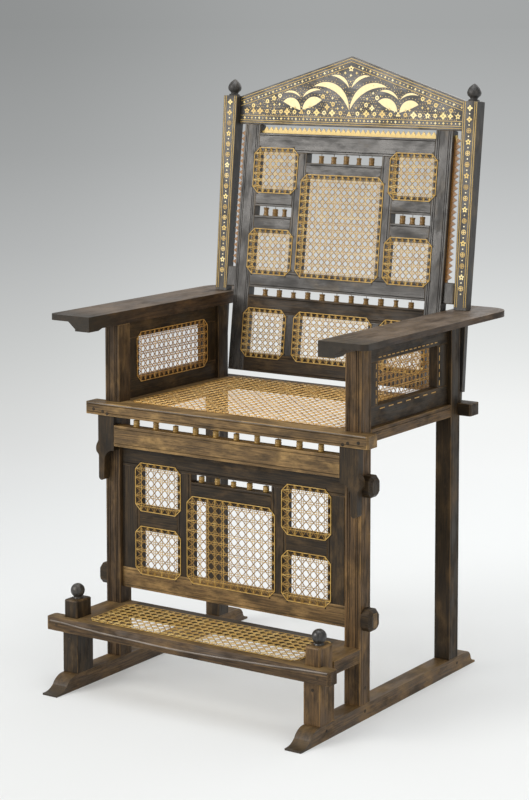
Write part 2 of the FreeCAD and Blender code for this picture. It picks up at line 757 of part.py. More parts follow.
def arm_panel(side):
    """The framed and caned panel between a front leg, a rear leg, the arm and the seat."""
    outer = f"{LEG_OUTER} - arm_panel_setback"
    inner = f"{outer} - arm_panel_thickness"
    x = sided(side, inner, outer)
    bottom, top = "seat_height", ARM_UNDERSIDE
    low = f"{bottom} + arm_panel_bottom_rail_height"
    high = f"{top} - arm_panel_top_rail_height"
    full = ("front_leg_depth", "leg_spacing")
    front_stile = ("front_leg_depth", "front_leg_depth + arm_panel_front_stile_width")
    rear_stile = ("leg_spacing - arm_panel_rear_stile_width", "leg_spacing")
    rails = [beam(x, full, (bottom, low)), beam(x, full, (high, top))]
    stiles = [beam(x, front_stile, (low, high)), beam(x, rear_stile, (low, high))]
    finish(group(*rails), f"arm_panel_rails_{side}")
    finish(group(*stiles), f"arm_panel_stiles_{side}")
    front = S.front_leg_depth + S.arm_panel_front_stile_width
    back = S.leg_spacing - S.arm_panel_rear_stile_width
    sill = S.seat_height + S.arm_panel_bottom_rail_height
    head = amount(ARM_UNDERSIDE) - S.arm_panel_top_rail_height
    offset = sided(side, f"{inner} - cane_thickness", inner)[0]
    sheet_of_cane = cane("YZ_Plane", ((front + back) / 2, (sill + head) / 2),
                         (back - front, head - sill), 5, 3, offset)
    finish(sheet_of_cane, f"arm_cane_{side}")


# Footrest

FOOTREST_BOTTOM = "footrest_height - footrest_thickness"
POST_MIDDLE_X = "half_width - post_width / 2"
POST_MIDDLE_Y = "post_depth / 2 - post_front_reach"


def footrest_post(side):
    """A short post on the runner: a shoulder under the board, a block above it and a turned ball."""
    body = document.addObject("PartDesign::Body", "Post")
    lower = sketch(body, "XY_Plane", "runner_height")
    half = (S.post_width / 2, S.post_depth / 2)
    trace(lower, (-half[0], -half[1]), (half[0], -half[1]), half, (-half[0], half[1]))
    pad(body, lower, f"{FOOTREST_BOTTOM} - rest_gap - runner_height")
    upper = sketch(body, "XY_Plane", f"{FOOTREST_BOTTOM} - rest_gap")
    slim = (half[0] - S.post_shoulder, half[1] - S.post_shoulder)
    trace(upper, (-slim[0], -slim[1]), (slim[0], -slim[1]), slim, (-slim[0], slim[1]))
    block = pad(body, upper, "footrest_thickness + rest_gap + post_block_height")
    top = S.footrest_height + S.post_block_height
    chamfer(body, block, edges_at(block, "Z", top), "post_block_chamfer")
    ball = sketch(body, "XZ_Plane")
    neck, radius = S.ball_neck_diameter / 2, S.ball_diameter / 2
    start = -math.acos(neck / radius)
    centre = top + S.ball_neck_height - radius * math.sin(start)
    turns = [start + (math.pi / 2 - start) * facet / BALL_FACET_COUNT
             for facet in range(BALL_FACET_COUNT)]
    round_side = [(radius * math.cos(turn), centre + radius * math.sin(turn)) for turn in turns]
    trace(ball, (0, top), (neck, top), *round_side, (0, centre + radius))
    revolve(body, ball)
    place(body, UPRIGHT, sided(side, POST_MIDDLE_X, POST_MIDDLE_X)[0], POST_MIDDLE_Y)
    finish(body, f"footrest_post_{side}")


def footrest_front_rail():
    """The front rail: its ends reach past the posts, and its top edge has a swelling hollow bevel."""
    front = -S.footrest_front_reach
    back = front + S.footrest_front_rail_depth
    end = S.half_width + S.footrest_horn_length
    corner = S.footrest_end_corner
    gap = S.rest_gap
    block_front = -S.post_front_reach + S.post_shoulder - gap
    block_outer = S.half_width - S.post_shoulder + gap
    block_inner = S.half_width - S.post_width + S.post_shoulder - gap
    points = [(end - corner, front), (end, front + corner), (end, back - corner),
              (end - corner, back), (block_outer, back), (block_outer, block_front),
              (block_inner, block_front), (block_inner, back)]
    board = profile("XY_Plane", mirrored(points), "footrest_thickness", FOOTREST_BOTTOM)
    finish(cut(board, bevel_tool()), "footrest_front_rail")


def bevel_tool():
    """The shape taken off the footrest's top front edge, deepest in the middle of its length."""
    body = document.addObject("PartDesign::Body", "Bevel")
    sections = []
    reach = "half_width + footrest_horn_length + overrun"
    for offset, height, depth in ((f"-({reach})", S.bevel_end_height, S.bevel_end_depth),
                                  ("0", S.bevel_middle_height, S.bevel_middle_depth),
                                  (reach, S.bevel_end_height, S.bevel_end_depth)):
        section = sketch(body, "YZ_Plane", offset)
        front = -S.footrest_front_reach
        low, out = S.footrest_height - height, front - S.overrun
        over = S.footrest_height + S.overrun
        trace(section, (out, low), (front, low), (front + depth, S.footrest_height),
              (front + depth, over), (out, over))
        sections.append(section)
    loft(body, sections)
    return place(body, UPRIGHT)


def footrest_side_rail(side):
    """A side rail between the front rail and the rear one, notched round the post and the leg."""
    way = sign(side)
    gap = S.rest_gap
    inner = S.half_width - S.footrest_side_rail_width
    front = S.footrest_front_rail_depth - S.footrest_front_reach
    post_inner = S.half_width - S.post_width + S.post_shoulder - gap
    post_back = S.post_depth - S.post_front_reach - S.post_shoulder + gap
    beside = S.half_width - S.leg_width - gap
    points = [(inner, front), (post_inner, front), (post_inner, post_back),
              (S.half_width, post_back), (S.half_width, -gap), (beside, -gap),
              (beside, S.footrest_rear_reach), (inner, S.footrest_rear_reach)]
    rail = profile("XY_Plane", [(way * x, y) for x, y in points], "footrest_thickness",
                   FOOTREST_BOTTOM)
    finish(rail, f"footrest_side_rail_{side}")


def footrest():
    """The footrest board: four rails round a caned field, held by the posts and the front legs."""
    footrest_front_rail()
    for side in ("left", "right"):
        footrest_side_rail(side)
    inner = "half_width - footrest_side_rail_width"
    rear = ("footrest_rear_reach - footrest_rear_rail_depth", "footrest_rear_reach")
    finish(beam((f"-({inner})", inner), rear, (FOOTREST_BOTTOM, "footrest_height")),
           "footrest_rear_rail")
    front = S.footrest_front_rail_depth - S.footrest_front_reach
    back = S.footrest_rear_reach - S.footrest_rear_rail_depth
    opening = (2 * (S.half_width - S.footrest_side_rail_width), back - front)
    finish(cane("XY_Plane", (0, (front + back) / 2), opening, 10, 3, "footrest_height"),
           "footrest_cane")


# Lift-off back: posts, finials and pediment

def post_x(side, half):
    """A span about the middle of a back post."""
    return sided(side, f"{BACK_POST_X} - {half}", f"{BACK_POST_X} + {half}")


def post_tongue(side, bottom, top, clearance="0"):
    """The thin lower end of a back post, or the slot in the arm that it slides through."""
    y = (f"tongue_setback - {clearance}", f"tongue_setback + tongue_depth + {clearance}")
    return beam(post_x(side, f"(tongue_width / 2 + {clearance})"), y, (bottom, top), POST)


def from_arm(height):
    """A height above the floor, counted along the leaning posts from the arm's top."""
    return f"({height} - ({ARM_TOP}) - rest_gap) / cos(back_lean)"


TONGUE_FOOT = from_arm("(seat_height + tongue_foot_lift)")


def foot_stub(side, clearance="0"):
    """The stub under a back post that stands in the rear rail, or the mortise for it."""
    y = (f"stub_setback - {clearance}", f"stub_setback + stub_depth + {clearance}")
    bottom = from_arm(f"(seat_height - stub_in_rail - {clearance})")
    return beam(post_x(side, f"(stub_width / 2 + {clearance})"), y, (bottom, TONGUE_FOOT), POST)


def rectangle(drawing, width, depth):
    trace(drawing, (-width / 2, 0), (width / 2, 0), (width / 2, depth), (-width / 2, depth))


def back_post(side):
    """A leaning post that widens upwards, with a tongue through the arm and a stub in the seat."""
    body = document.addObject("PartDesign::Body", "BackPost")
    low = sketch(body, "XY_Plane", "-overrun")
    rectangle(low, S.back_post_width, S.back_post_depth)
    high = sketch(body, "XY_Plane", "back_post_height")
    rectangle(high, S.back_post_top_width, S.back_post_top_depth)
    loft(body, [low, high], ruled=True)
    place(body, POST, sided(side, BACK_POST_X, BACK_POST_X)[0])
    below_arm = beam(post_x(side, "back_post_top_width"),
                     (POST_FRONT + " - overrun", POST_FRONT + " + back_post_top_depth"),
                     (ARM_UNDERSIDE, f"{ARM_TOP} + rest_gap"))
    tongue = post_tongue(side, TONGUE_FOOT, "overrun")
    finish(join(cut(body, below_arm), tongue, foot_stub(side)), f"back_post_{side}")


def finial(side):
    """A turned finial: a ring, a neck and a pointed bulb."""
    body = document.addObject("PartDesign::Body", "Finial")
    drawing = sketch(body, "XZ_Plane")
    height = S.finial_height
    ring, neck = S.finial_ring_diameter / 2, S.finial_neck_diameter / 2
    radius = S.finial_diameter / 2
    ring_top, neck_top = FINIAL_RING_SHARE * height, FINIAL_NECK_SHARE * height
    bulb = scaled(FINIAL_BULB_SHARES, (0, 0), (radius, height))
    trace(drawing, (0, 0), (ring, 0), (ring, ring_top), (neck, ring_top), (neck, neck_top), *bulb)
    revolve(body, drawing)
    place(body, POST, sided(side, BACK_POST_X, BACK_POST_X)[0],
          "back_post_top_depth / 2", "back_post_height")
    return body


def pediment():
    """The gabled board between the posts, bedded against their inner faces."""
    low = S.back_post_height - S.pediment_side_height
    high = S.back_post_height
    spread = (S.back_post_top_width - S.back_post_width) / 2
    post_middle = amount(BACK_POST_X)

    def inner_face(height):
        share = height / S.back_post_height
        return post_middle - S.back_post_width / 2 - spread * share - S.joint_clearance

    points = [(inner_face(low), low), (inner_face(high), high)]
    outline = points + [(0, high + S.pediment_rise)] + [(-x, z) for x, z in reversed(points)]
    board = profile("XZ_Plane", outline, "pediment_thickness",
                    "-(pediment_setback + pediment_thickness)", POST)
    finish(board, "back_pediment")


# Lift-off back: caned panel

PANEL_Y = ("0", "panel_thickness")
PANEL_OUTER = "half_width - panel_inset"
PANEL_INNER = f"{PANEL_OUTER} - panel_stile_width"
UPPER_INNER = f"({PANEL_INNER} - panel_upper_muntin_width) * panel_upper_centre_share"
UPPER_OUTER = f"{UPPER_INNER} + panel_upper_muntin_width"
LOWER_INNER = f"({PANEL_INNER} - panel_lower_muntin_width) * panel_lower_centre_share"
LOWER_OUTER = f"{LOWER_INNER} + panel_lower_muntin_width"
PEDIMENT_LOW = "(back_post_height - pediment_side_height)"
PEDIMENT_LOW_DEPTH = (f"{POST[0]} + {PEDIMENT_LOW} * sin(back_lean)"
                      " + pediment_setback * cos(back_lean)")
PEDIMENT_LOW_HEIGHT = (f"{POST[1]} + {PEDIMENT_LOW} * cos(back_lean)"
                       " - pediment_setback * sin(back_lean)")
PANEL_TOP = (f"({PEDIMENT_LOW_HEIGHT} - ({PANEL[1]})) * cos(panel_lean)"
             f" + ({PEDIMENT_LOW_DEPTH} - ({PANEL[0]})) * sin(panel_lean) - rest_gap")
RAIL_TOP = f"{PANEL_TOP} - saw_base - saw_tooth - saw_head_gap"
BARS_AND_RAILS = ("panel_bottom_rail_height + panel_lower_rail_height + panel_middle_rail_height"
                  " + panel_top_rail_height + 2 * panel_short_bar_height")
GALLERIES = "panel_wide_gallery_height + panel_side_gallery_height"
SIDE_OPENING_HEIGHT = (f"({RAIL_TOP} - ({BARS_AND_RAILS}) - ({GALLERIES})"
                       " - panel_lower_opening_height) / 2")
LEVEL_STEPS = {
    "lower_sill": "panel_bottom_rail_height",
    "lower_head": "panel_lower_opening_height",
    "wide_gallery": "panel_lower_rail_height",
    "middle_rail": "panel_wide_gallery_height",
    "middle_sill": "panel_middle_rail_height",
    "first_bar": SIDE_OPENING_HEIGHT,
    "side_gallery": "panel_short_bar_height",
    "second_bar": "panel_side_gallery_height",
    "upper_sill": "panel_short_bar_height",
    "upper_head": SIDE_OPENING_HEIGHT,
}
LEVELS = {}
total = "0"
for level_name, step in LEVEL_STEPS.items():
    total = f"{total} + {step}"
    LEVELS[level_name] = total
CENTRE_BAR_TOP = f"{LEVELS['upper_head']} - panel_top_gallery_height"
CENTRE_HEAD = f"{CENTRE_BAR_TOP} - panel_centre_bar_height"
LUG_BOTTOM = f"({ARM_TOP} + lug_rise - ({PANEL[1]})) / cos(panel_lean)"
LUG_TOP = f"{LUG_BOTTOM} + lug_height"


def panel_beam(x, z):
    return beam(x, PANEL_Y, z, PANEL)


def panel_frame():
    """The stiles, rails, muntins and bars of the leaning panel."""
    sides = ("left", "right")
    for side in sides:
        stile = panel_beam(sided(side, PANEL_INNER, PANEL_OUTER), ("0", PANEL_TOP))
        finish(stile, f"back_stile_{side}")
    across = (f"-({PANEL_INNER})", PANEL_INNER)
    rails = {
        "back_bottom_rail": ("0", LEVELS["lower_sill"]),
        "back_lower_rail": (LEVELS["lower_head"], LEVELS["wide_gallery"]),
        "back_middle_rail": (LEVELS["middle_rail"], LEVELS["middle_sill"]),
        "back_top_rail": (LEVELS["upper_head"], RAIL_TOP),
    }
    for label, span in rails.items():
        finish(panel_beam(across, span), label)
    upper = [panel_beam(sided(side, UPPER_INNER, UPPER_OUTER),
                        (LEVELS["middle_sill"], LEVELS["upper_head"])) for side in sides]
    lower = [panel_beam(sided(side, LOWER_INNER, LOWER_OUTER),
                        (LEVELS["lower_sill"], LEVELS["lower_head"])) for side in sides]
    finish(group(*upper, *lower), "back_muntins")
    bars = [panel_beam(sided(side, UPPER_OUTER, PANEL_INNER), span) for side in sides
            for span in ((LEVELS["first_bar"], LEVELS["side_gallery"]),
                         (LEVELS["second_bar"], LEVELS["upper_sill"]))]
    bars.append(panel_beam((f"-({UPPER_INNER})", UPPER_INNER), (CENTRE_HEAD, CENTRE_BAR_TOP)))
    finish(group(*bars), "back_short_bars")


def panel_row(count, width, height, level, middle="0"):
    """A row of evenly spread spindles across one of the panel's galleries."""
    pitch = f"({width}) / {count + 1}"
    row = spindle_row(count, pitch, "spindle_diameter", height)
    return place(row, PANEL, f"{middle} - ({pitch}) * {(count - 1) / 2}", "panel_thickness / 2",
                 level)


def panel_spindles():
    """The spindles of the four galleries."""
    side_middle = f"(({UPPER_OUTER} + {PANEL_INNER}) / 2)"
    side_width = f"{PANEL_INNER} - ({UPPER_OUTER})"
    rows = [
        panel_row(WIDE_SPINDLE_COUNT, f"2 * ({PANEL_INNER})", "panel_wide_gallery_height",
                  LEVELS["wide_gallery"]),
        panel_row(TOP_SPINDLE_COUNT, f"2 * ({UPPER_INNER})", "panel_top_gallery_height",
                  CENTRE_BAR_TOP),
        panel_row(SIDE_SPINDLE_COUNT, side_width, "panel_side_gallery_height",
                  LEVELS["side_gallery"], side_middle),
        panel_row(SIDE_SPINDLE_COUNT, side_width, "panel_side_gallery_height",
                  LEVELS["side_gallery"], f"-{side_middle}"),
    ]
    finish(group(*rows), "back_spindles")


def panel_cane(low, high, inner, outer, columns, rows):
    """Cane over an opening of the panel, placed by its edges."""
    middle = ((inner + outer) / 2, (low + high) / 2)
    return cane("XZ_Plane", middle, (outer - inner, high - low), columns, rows, "0", PANEL)


def panel_canes():
    """The cane over the panel's eight openings."""
    level = {name: amount(total) for name, total in LEVELS.items()}
    stile = amount(PANEL_INNER)
    upper_inner, upper_outer = amount(UPPER_INNER), amount(UPPER_OUTER)
    lower_inner, lower_outer = amount(LOWER_INNER), amount(LOWER_OUTER)
    upper = [panel_cane(level["middle_sill"], amount(CENTRE_HEAD), -upper_inner, upper_inner, 4, 5)]
    lower = [panel_cane(level["lower_sill"], level["lower_head"], -lower_inner, lower_inner, 4, 2)]
    for near, far in ((upper_outer, stile), (-stile, -upper_outer)):
        upper.append(panel_cane(level["middle_sill"], level["first_bar"], near, far, 3, 3))
        upper.append(panel_cane(level["upper_sill"], level["upper_head"], near, far, 3, 3))
    for near, far in ((lower_outer, stile), (-stile, -lower_outer)):
        lower.append(panel_cane(level["lower_sill"], level["lower_head"], near, far, 3, 3))
    finish(group(*upper), "back_upper_cane")
    finish(group(*lower), "back_lower_cane")


def saw(length):
    """The outline of a toothed strip on its long base, from the origin along the first axis."""
    teeth = int(length // S.saw_pitch)
    start = (length - teeth * S.saw_pitch) / 2
    points = [(0, 0), (length, 0), (length, S.saw_base)]
    for tooth in reversed(range(teeth)):
        left = start + tooth * S.saw_pitch
        points.append((left + S.saw_pitch, S.saw_base))
        points.append((left + S.saw_pitch / 2, S.saw_base + S.saw_tooth))
    points.append((start, S.saw_base))
    points.append((0, S.saw_base))
    return points


def saw_strips():
    """Bone strips with saw teeth, on the panel's top and on the outer side of each stile."""
    inner, outer = amount(PANEL_INNER), amount(PANEL_OUTER)
    top = amount(RAIL_TOP)
    low = amount(LUG_TOP)
    high = amount(PANEL_TOP) - S.saw_tooth
    outlines = [[(x - inner, z + top) for x, z in saw(2 * inner)]]
    for way in (-1, 1):
        outlines.append([(way * (outer + reach), low + along)
                         for along, reach in saw(high - low)])
    strips = []
    for outline in outlines:
        strips.append(profile("XZ_Plane", outline, "saw_thickness",
                              "-(saw_setback + saw_thickness)", PANEL))
    finish(group(*strips), "back_saw_strips")


def lugs():
    """The blocks that join the panel's stiles to the posts just above the arms."""
    share = "(lug_rise + lug_height * cos(panel_lean)) / back_post_height"
    spread = f"({share}) * (back_post_top_width - back_post_width) / 2"
    outer = f"{BACK_POST_X} - back_post_width / 2 - {spread} - joint_clearance"
    blocks = [beam(sided(side, PANEL_OUTER, outer),
                   ("lug_setback", "lug_setback + lug_thickness"),
                   (LUG_BOTTOM, LUG_TOP), PANEL)
              for side in ("left", "right")]
    finish(group(*blocks), "back_lugs")


def build():
    """Make every piece, from the floor up."""
    for side in ("left", "right"):
        runner(side)
        footrest_post(side)
        for legs in LEGS:
            leg(side, legs)
        seat_side_rail(side)
        bracket(side)
        arm(side)
        arm_panel(side)
        back_post(side)
    footrest()
    calf_panel()
    calf_cane()
    seat_front_rail()
    seat_rear_rail()
    seat_cane()
    apron()
    finish(group(finial("left"), finial("right")), "back_finials")
    pediment()
    panel_frame()
    panel_spindles()
    panel_canes()
    saw_strips()
    lugs()


def check():
    """Stop with a message if anything failed to build."""
    document.recompute()
    for each in document.Objects:
        if "Invalid" in each.State or "Error" in each.State:
            raise RuntimeError(f"{each.Label} failed: {each.State}")
    for piece in nodes:
        if piece.Shape.isNull() or not piece.Shape.isValid():
            raise RuntimeError(f"{piece.Label} has no valid shape")


def export():
    os.makedirs("parts", exist_ok=True)
    for piece in nodes:
        piece.Shape.exportStep(f"parts/{piece.Label}.step")
        box = piece.Shape.BoundBox
        print(f"{piece.Label}: {len(piece.Shape.Solids)} solids, volume {piece.Shape.Volume:.0f}, "
              f"x {box.XMin:.1f} {box.XMax:.1f}, y {box.YMin:.1f} {box.YMax:.1f}, "
              f"z {box.ZMin:.1f} {box.ZMax:.1f}")
    print(len(nodes), "nodes")


build()
check()
export()
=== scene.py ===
import cmath
import math
import bmesh
import bpy
from mathutils import Matrix, Vector


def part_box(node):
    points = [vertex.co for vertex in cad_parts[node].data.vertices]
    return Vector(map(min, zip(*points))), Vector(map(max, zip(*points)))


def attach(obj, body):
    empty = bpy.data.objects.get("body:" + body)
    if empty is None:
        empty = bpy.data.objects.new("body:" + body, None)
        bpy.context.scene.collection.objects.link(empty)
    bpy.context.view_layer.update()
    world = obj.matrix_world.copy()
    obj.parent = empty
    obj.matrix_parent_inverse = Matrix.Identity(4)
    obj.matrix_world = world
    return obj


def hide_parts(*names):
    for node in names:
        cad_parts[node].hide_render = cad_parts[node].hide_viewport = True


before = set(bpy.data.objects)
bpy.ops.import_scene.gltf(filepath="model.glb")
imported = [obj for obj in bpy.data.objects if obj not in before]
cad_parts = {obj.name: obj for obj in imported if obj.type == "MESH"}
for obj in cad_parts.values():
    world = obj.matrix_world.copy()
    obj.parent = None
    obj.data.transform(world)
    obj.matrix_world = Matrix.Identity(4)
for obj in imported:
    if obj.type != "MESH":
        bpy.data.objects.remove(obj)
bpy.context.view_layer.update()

# Runners and legs
# Two sled runners with ogee toes, and four square legs tenoned into them: oiled East African
# hardwood, sawn and planed by hand, its edges and treads rubbed back to brown by use.

MM = 0.001
X, Y, Z = Vector((1, 0, 0)), Vector((0, 1, 0)), Vector((0, 0, 1))
UPRIGHT = Matrix.Identity(4)
SIDES = (("left", -1), ("right", 1))


def linear(code):
    """An sRGB hex colour as linear light."""
    parts = [int(code[place:place + 2], 16) / 255 for place in (1, 3, 5)]
    return [part / 12.92 if part <= 0.04045 else ((part + 0.055) / 1.055) ** 2.4
            for part in parts] + [1]


def fill(tree, node, inputs):
    """Gives a node's inputs, by name or in order: numbers, hex colours or other nodes' sockets."""
    for name, given in inputs.items() if isinstance(inputs, dict) else enumerate(inputs):
        if isinstance(given, bpy.types.NodeSocket):
            tree.links.new(given, node.inputs[name])
        elif isinstance(given, str) and given.startswith("#"):
            node.inputs[name].default_value = linear(given)
        else:
            node.inputs[name].default_value = given


def add(tree, kind, inputs=(), output=0, stops=(), **settings):
    """Adds a node with its settings, its inputs and a ramp's stops, and gives back one output."""
    node = tree.nodes.new(kind)
    for name, value in settings.items():
        setattr(node, name, value)
    fill(tree, node, inputs)
    if stops:
        shades = node.color_ramp.elements
        while len(shades) < len(stops):
            shades.new(0.5)
        for shade, (position, code) in zip(shades, stops):
            shade.position = position
            shade.color = linear(code)
    return node if output is None else node.outputs[output]


def bare(name):
    """A new material, its nodes, its shader and the place of each point on the piece."""
    material = bpy.data.materials.new(name)
    material.use_nodes = True
    tree = material.node_tree
    return material, tree, tree.nodes["Principled BSDF"], add(tree, "ShaderNodeTexCoord", output="Object")


def figure(tree, place, grain, width, length, detail=4):
    """A pattern drawn out along the grain, from the width and length in mm of what it paints."""
    scale = [1 / (width * MM)] * 3
    scale["XYZ".index(grain)] = 1 / (length * MM)
    drawn = add(tree, "ShaderNodeMapping", {"Vector": place, "Scale": scale})
    return add(tree, "ShaderNodeTexNoise", {"Vector": drawn, "Scale": 1, "Detail": detail, "Roughness": 0.62})


SOOT, GROOVE_DIRT = "#23221d", "#0c0a08"
SMOOTH = {"interpolation_type": "SMOOTHSTEP"}


def hardwood(name, grain, dark, fibre, rubbed, grime, dust, rub=0.45, dusting=0.3, gloss=0.46, shine=0.3,
             sooty=None):
    """Planed hardwood: fibres and pores along the grain, worn and grimy patches, and arrises painted bright
    with wear and a painted highlight.
    """
    material, tree, shader, place = bare(f"{name}_{grain.lower()}")
    fibres = figure(tree, place, grain, 2.2, 55)
    bands = figure(tree, place, grain, 13, 210, 3)
    hands = figure(tree, place, grain, 34, 80, 5)
    soot = figure(tree, place, grain, 24, 60, 5)
    # Real pores are a few times finer. They are drawn this coarse so that they show.
    pores = figure(tree, place, grain, 0.9, 9, 2)
    edge, groove = (add(tree, "ShaderNodeAttribute", output="Fac", attribute_name=tag)
                    for tag in ("edge", "groove"))
    upward = add(tree, "ShaderNodeSeparateXYZ", [add(tree, "ShaderNodeNewGeometry", output="Normal")], "Z")
    level = add(tree, "ShaderNodeMapRange", (upward, 0.6, 1.0), **SMOOTH)
    # Each layer's colour, the pattern that lays it on between a low and a high value, its least and
    # its most share there, and what holds it back.
    layers = [(dark, bands, 0.35, 0.68, 0.0, 0.55, 1),
              (rubbed, hands, 0.6 - 0.24 * rub, 0.86 - 0.16 * rub, 0.0, 0.35 + 0.5 * rub, 1),
              (grime, soot, 0.46, 0.74, 0.0, 0.7, 1),
              (grime, pores, 0.6, 0.72, 0.0, 0.6, 1),
              # Along the eased arrises: wear, and a painted highlight where a rounded edge would catch the
              # light.
              (rubbed, hands, 0.38, 0.62, 0.05, 0.6, edge),
              (GROOVE_DIRT, soot, 0.0, 1.0, 0.9, 0.9, groove),
              (dust, hands, 0.35, 0.65, 0.3 * dusting, dusting, level)]
    if sooty:
        forward = add(tree, "ShaderNodeSeparateXYZ", [place], "Y")
        layers.append((SOOT, forward, sooty[0] * MM, sooty[1] * MM, 0.75, 0.0, 1))
    colour = add(tree, "ShaderNodeValToRGB", [fibres], stops=[(0.37, dark), (0.63, fibre)])
    for over, pattern, low, high, least, most, mask in layers:
        share = add(tree, "ShaderNodeMapRange", (pattern, low, high, least, most), **SMOOTH)
        share = add(tree, "ShaderNodeMath", (share, mask), operation="MULTIPLY")
        colour = add(tree, "ShaderNodeMix", {0: share, 6: colour, 7: over}, 2, data_type="RGBA")
    worn = add(tree, "ShaderNodeMapRange", (hands, 0.35, 0.65, gloss - 0.04, gloss + 0.1), **SMOOTH)
    sooted = add(tree, "ShaderNodeMapRange", (soot, 0.42, 0.66, -0.04, 0.16), **SMOOTH)
    rough = add(tree, "ShaderNodeMath", (worn, sooted), operation="ADD")
    fine = add(tree, "ShaderNodeBump", {"Strength": 0.45, "Distance": 0.3 * MM, "Height": fibres})
    dented = add(tree, "ShaderNodeBump", {"Strength": 0.3, "Distance": 1.6 * MM, "Height": soot,
                                          "Normal": fine})
    fill(tree, shader, {"Base Color": colour, "Roughness": rough, "Normal": dented,
                        "Specular IOR Level": shine})
    return material


FINISHES = {
    # Oiled brown hardwood, handled for generations: the grain shows, the gloss is low and patchy.
    "brown": dict(dark="#3c2d1c", fibre="#785c39", rubbed="#9f7d4c", grime="#1f180e", dust="#8a7148",
                  rub=0.5, dusting=0.4, gloss=0.5),
    # The same wood on the footrest's front and the leg by it, darkened by shoes.
    "trodden": dict(dark="#30251a", fibre="#5e4930", rubbed="#846944", grime="#1a140c", dust="#8a7148",
                    dusting=0.6, gloss=0.52, shine=0.25),
    # The runners, whose toes have gone nearly black from kicks and mops.
    "kicked": dict(dark="#3a2c1b", fibre="#725838", rubbed="#9f7d4c", grime="#1f180e", dust="#8a7148",
                   rub=0.5, dusting=0.4, shine=0.4, sooty=(-335, -270)),
    # The same oiled wood left dark, in the panels and where no hand reaches. On the rear legs and the arm
    # panels its darkness is also painted shade.
    "smoked": dict(dark="#1e170e", fibre="#43341f", rubbed="#6f5737", grime="#110d08", dust="#5d4b2f"),
}


def wood(kind, grain):
    """One material for each finish and direction of the grain."""
    name = f"{kind}_hardwood"
    return bpy.data.materials.get(f"{name}_{grain.lower()}") or hardwood(name, grain, **FINISHES[kind])


def islands(mesh):
    """The separate solids of a mesh, as lists of faces, in the same order on each run."""
    seen = set()
    for first in mesh.faces:
        found, waiting = [], [first]
        while waiting:
            face = waiting.pop()
            if face not in seen:
                seen.add(face)
                found.append(face)
                waiting.extend(other for edge in face.edges for other in edge.link_faces)
        if found:
            yield found


def welded(node):
    """A copy of a CAD node's mesh, its loose triangles joined."""
    mesh = bmesh.new()
    mesh.from_mesh(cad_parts[node].data)
    bmesh.ops.remove_doubles(mesh, verts=mesh.verts, dist=0.005 * MM)
    return mesh


def whole(node):
    """The same copy with its flat faces made whole."""
    mesh = welded(node)
    bmesh.ops.join_triangles(mesh, faces=mesh.faces, angle_face_threshold=math.radians(0.5),
                             angle_shape_threshold=math.pi)
    return mesh


def ease(mesh, width):
    """Rounds every sharp edge a little, as a block plane and years of hands do."""
    sharp = [edge for edge in mesh.edges if len(edge.link_faces) == 2
             and edge.calc_face_angle() > math.radians(25)]
    made = bmesh.ops.bevel(mesh, geom=sharp, offset=width * MM, offset_type="OFFSET", segments=2,
                           profile=0.5, affect="EDGES", clamp_overlap=True)
    # The rounded faces are tagged so that the wood paints them bright: worn arrises and a painted highlight.
    tag = mesh.loops.layers.float.new("edge")
    for face in made["faces"]:
        for corner in face.loops:
            corner[tag] = 1


def scratch(mesh, normal, across, marks, width=1.8, depth=1.1):
    """Scratches straight V grooves in the faces towards normal, at marks from their two edges.

    A mark above 0 counts from the low edge, and one below 0 from the high edge.
    """
    tag = mesh.loops.layers.float.get("groove") or mesh.loops.layers.float.new("groove")
    for solid in list(islands(mesh)):
        facing = [face for face in solid if face.normal.dot(normal) > 0.99]
        if not facing:
            continue
        reach = max(vert.co.dot(normal) for face in facing for vert in face.verts)
        facing = [face for face in facing if reach - face.calc_center_median().dot(normal) < 0.5 * MM]
        spans = [vert.co.dot(across) for face in facing for vert in face.verts]
        for mark in marks:
            line = (min(spans) if mark > 0 else max(spans)) + mark * MM
            for step in (-width / 2, 0, width / 2):
                parts = [part for face in facing for part in (face, *face.edges, *face.verts)]
                made = bmesh.ops.bisect_plane(mesh, geom=list(dict.fromkeys(parts)), dist=0.001 * MM,
                                              plane_co=across * (line + step * MM), plane_no=across)
                facing += [part for part in made["geom"] if isinstance(part, bmesh.types.BMFace)]
                facing = [face for face in dict.fromkeys(facing) if face.is_valid]
            bottom = {vert for face in facing for vert in face.verts
                      if abs(vert.co.dot(across) - line) < 0.01 * MM
                      and reach - vert.co.dot(normal) < 0.5 * MM}
            walls = {face for face in facing
                     if abs(face.calc_center_median().dot(across) - line) < width * MM / 2}
            for face in walls:
                for corner in face.loops:
                    if corner.vert in bottom:
                        corner[tag] = 1
            for vert in bottom:
                vert.co -= normal * depth * MM
            facing = [face for face in facing if face not in walls]
    # The cuts leave the faces in an order that changes from run to run. Their first two corners sort them.
    mesh.verts.index_update()
    count = len(mesh.verts)
    mesh.faces.sort(key=lambda face: face.verts[0].index * count + face.verts[1].index)


def put(name, data):
    """Makes an object and puts it in the scene."""
    made = bpy.data.objects.new(name, data)
    bpy.context.scene.collection.objects.link(made)
    return made


def stand(name, data, body, nodes):
    """Makes a mesh a piece, which rides on its body and stands for its CAD nodes."""
    piece = put(name, data)
    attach(piece, body)
    if nodes:
        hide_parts(*nodes)
    return piece


def show(mesh, name, material, body, slot, *nodes, smooth=False):
    """Ends the making of a mesh: it gets its material and becomes a piece."""
    data = bpy.data.meshes.new(name)
    for face in mesh.faces:
        face.smooth = smooth
    mesh.to_mesh(data)
    mesh.free()
    data.materials.append(material)
    return stand(name, data, body, nodes)


def dressed(node, kind, grain, slot="dark_wood", body="chair", width=1.0, lines=()):
    """A CAD node as the joiner left it: eased, scratched with lines and given its wood."""
    mesh = whole(node)
    ease(mesh, width)
    for normal, across, marks in lines:
        scratch(mesh, normal, across, marks)
    return show(mesh, f"wood_{node}", wood(kind, grain), body, slot, node)


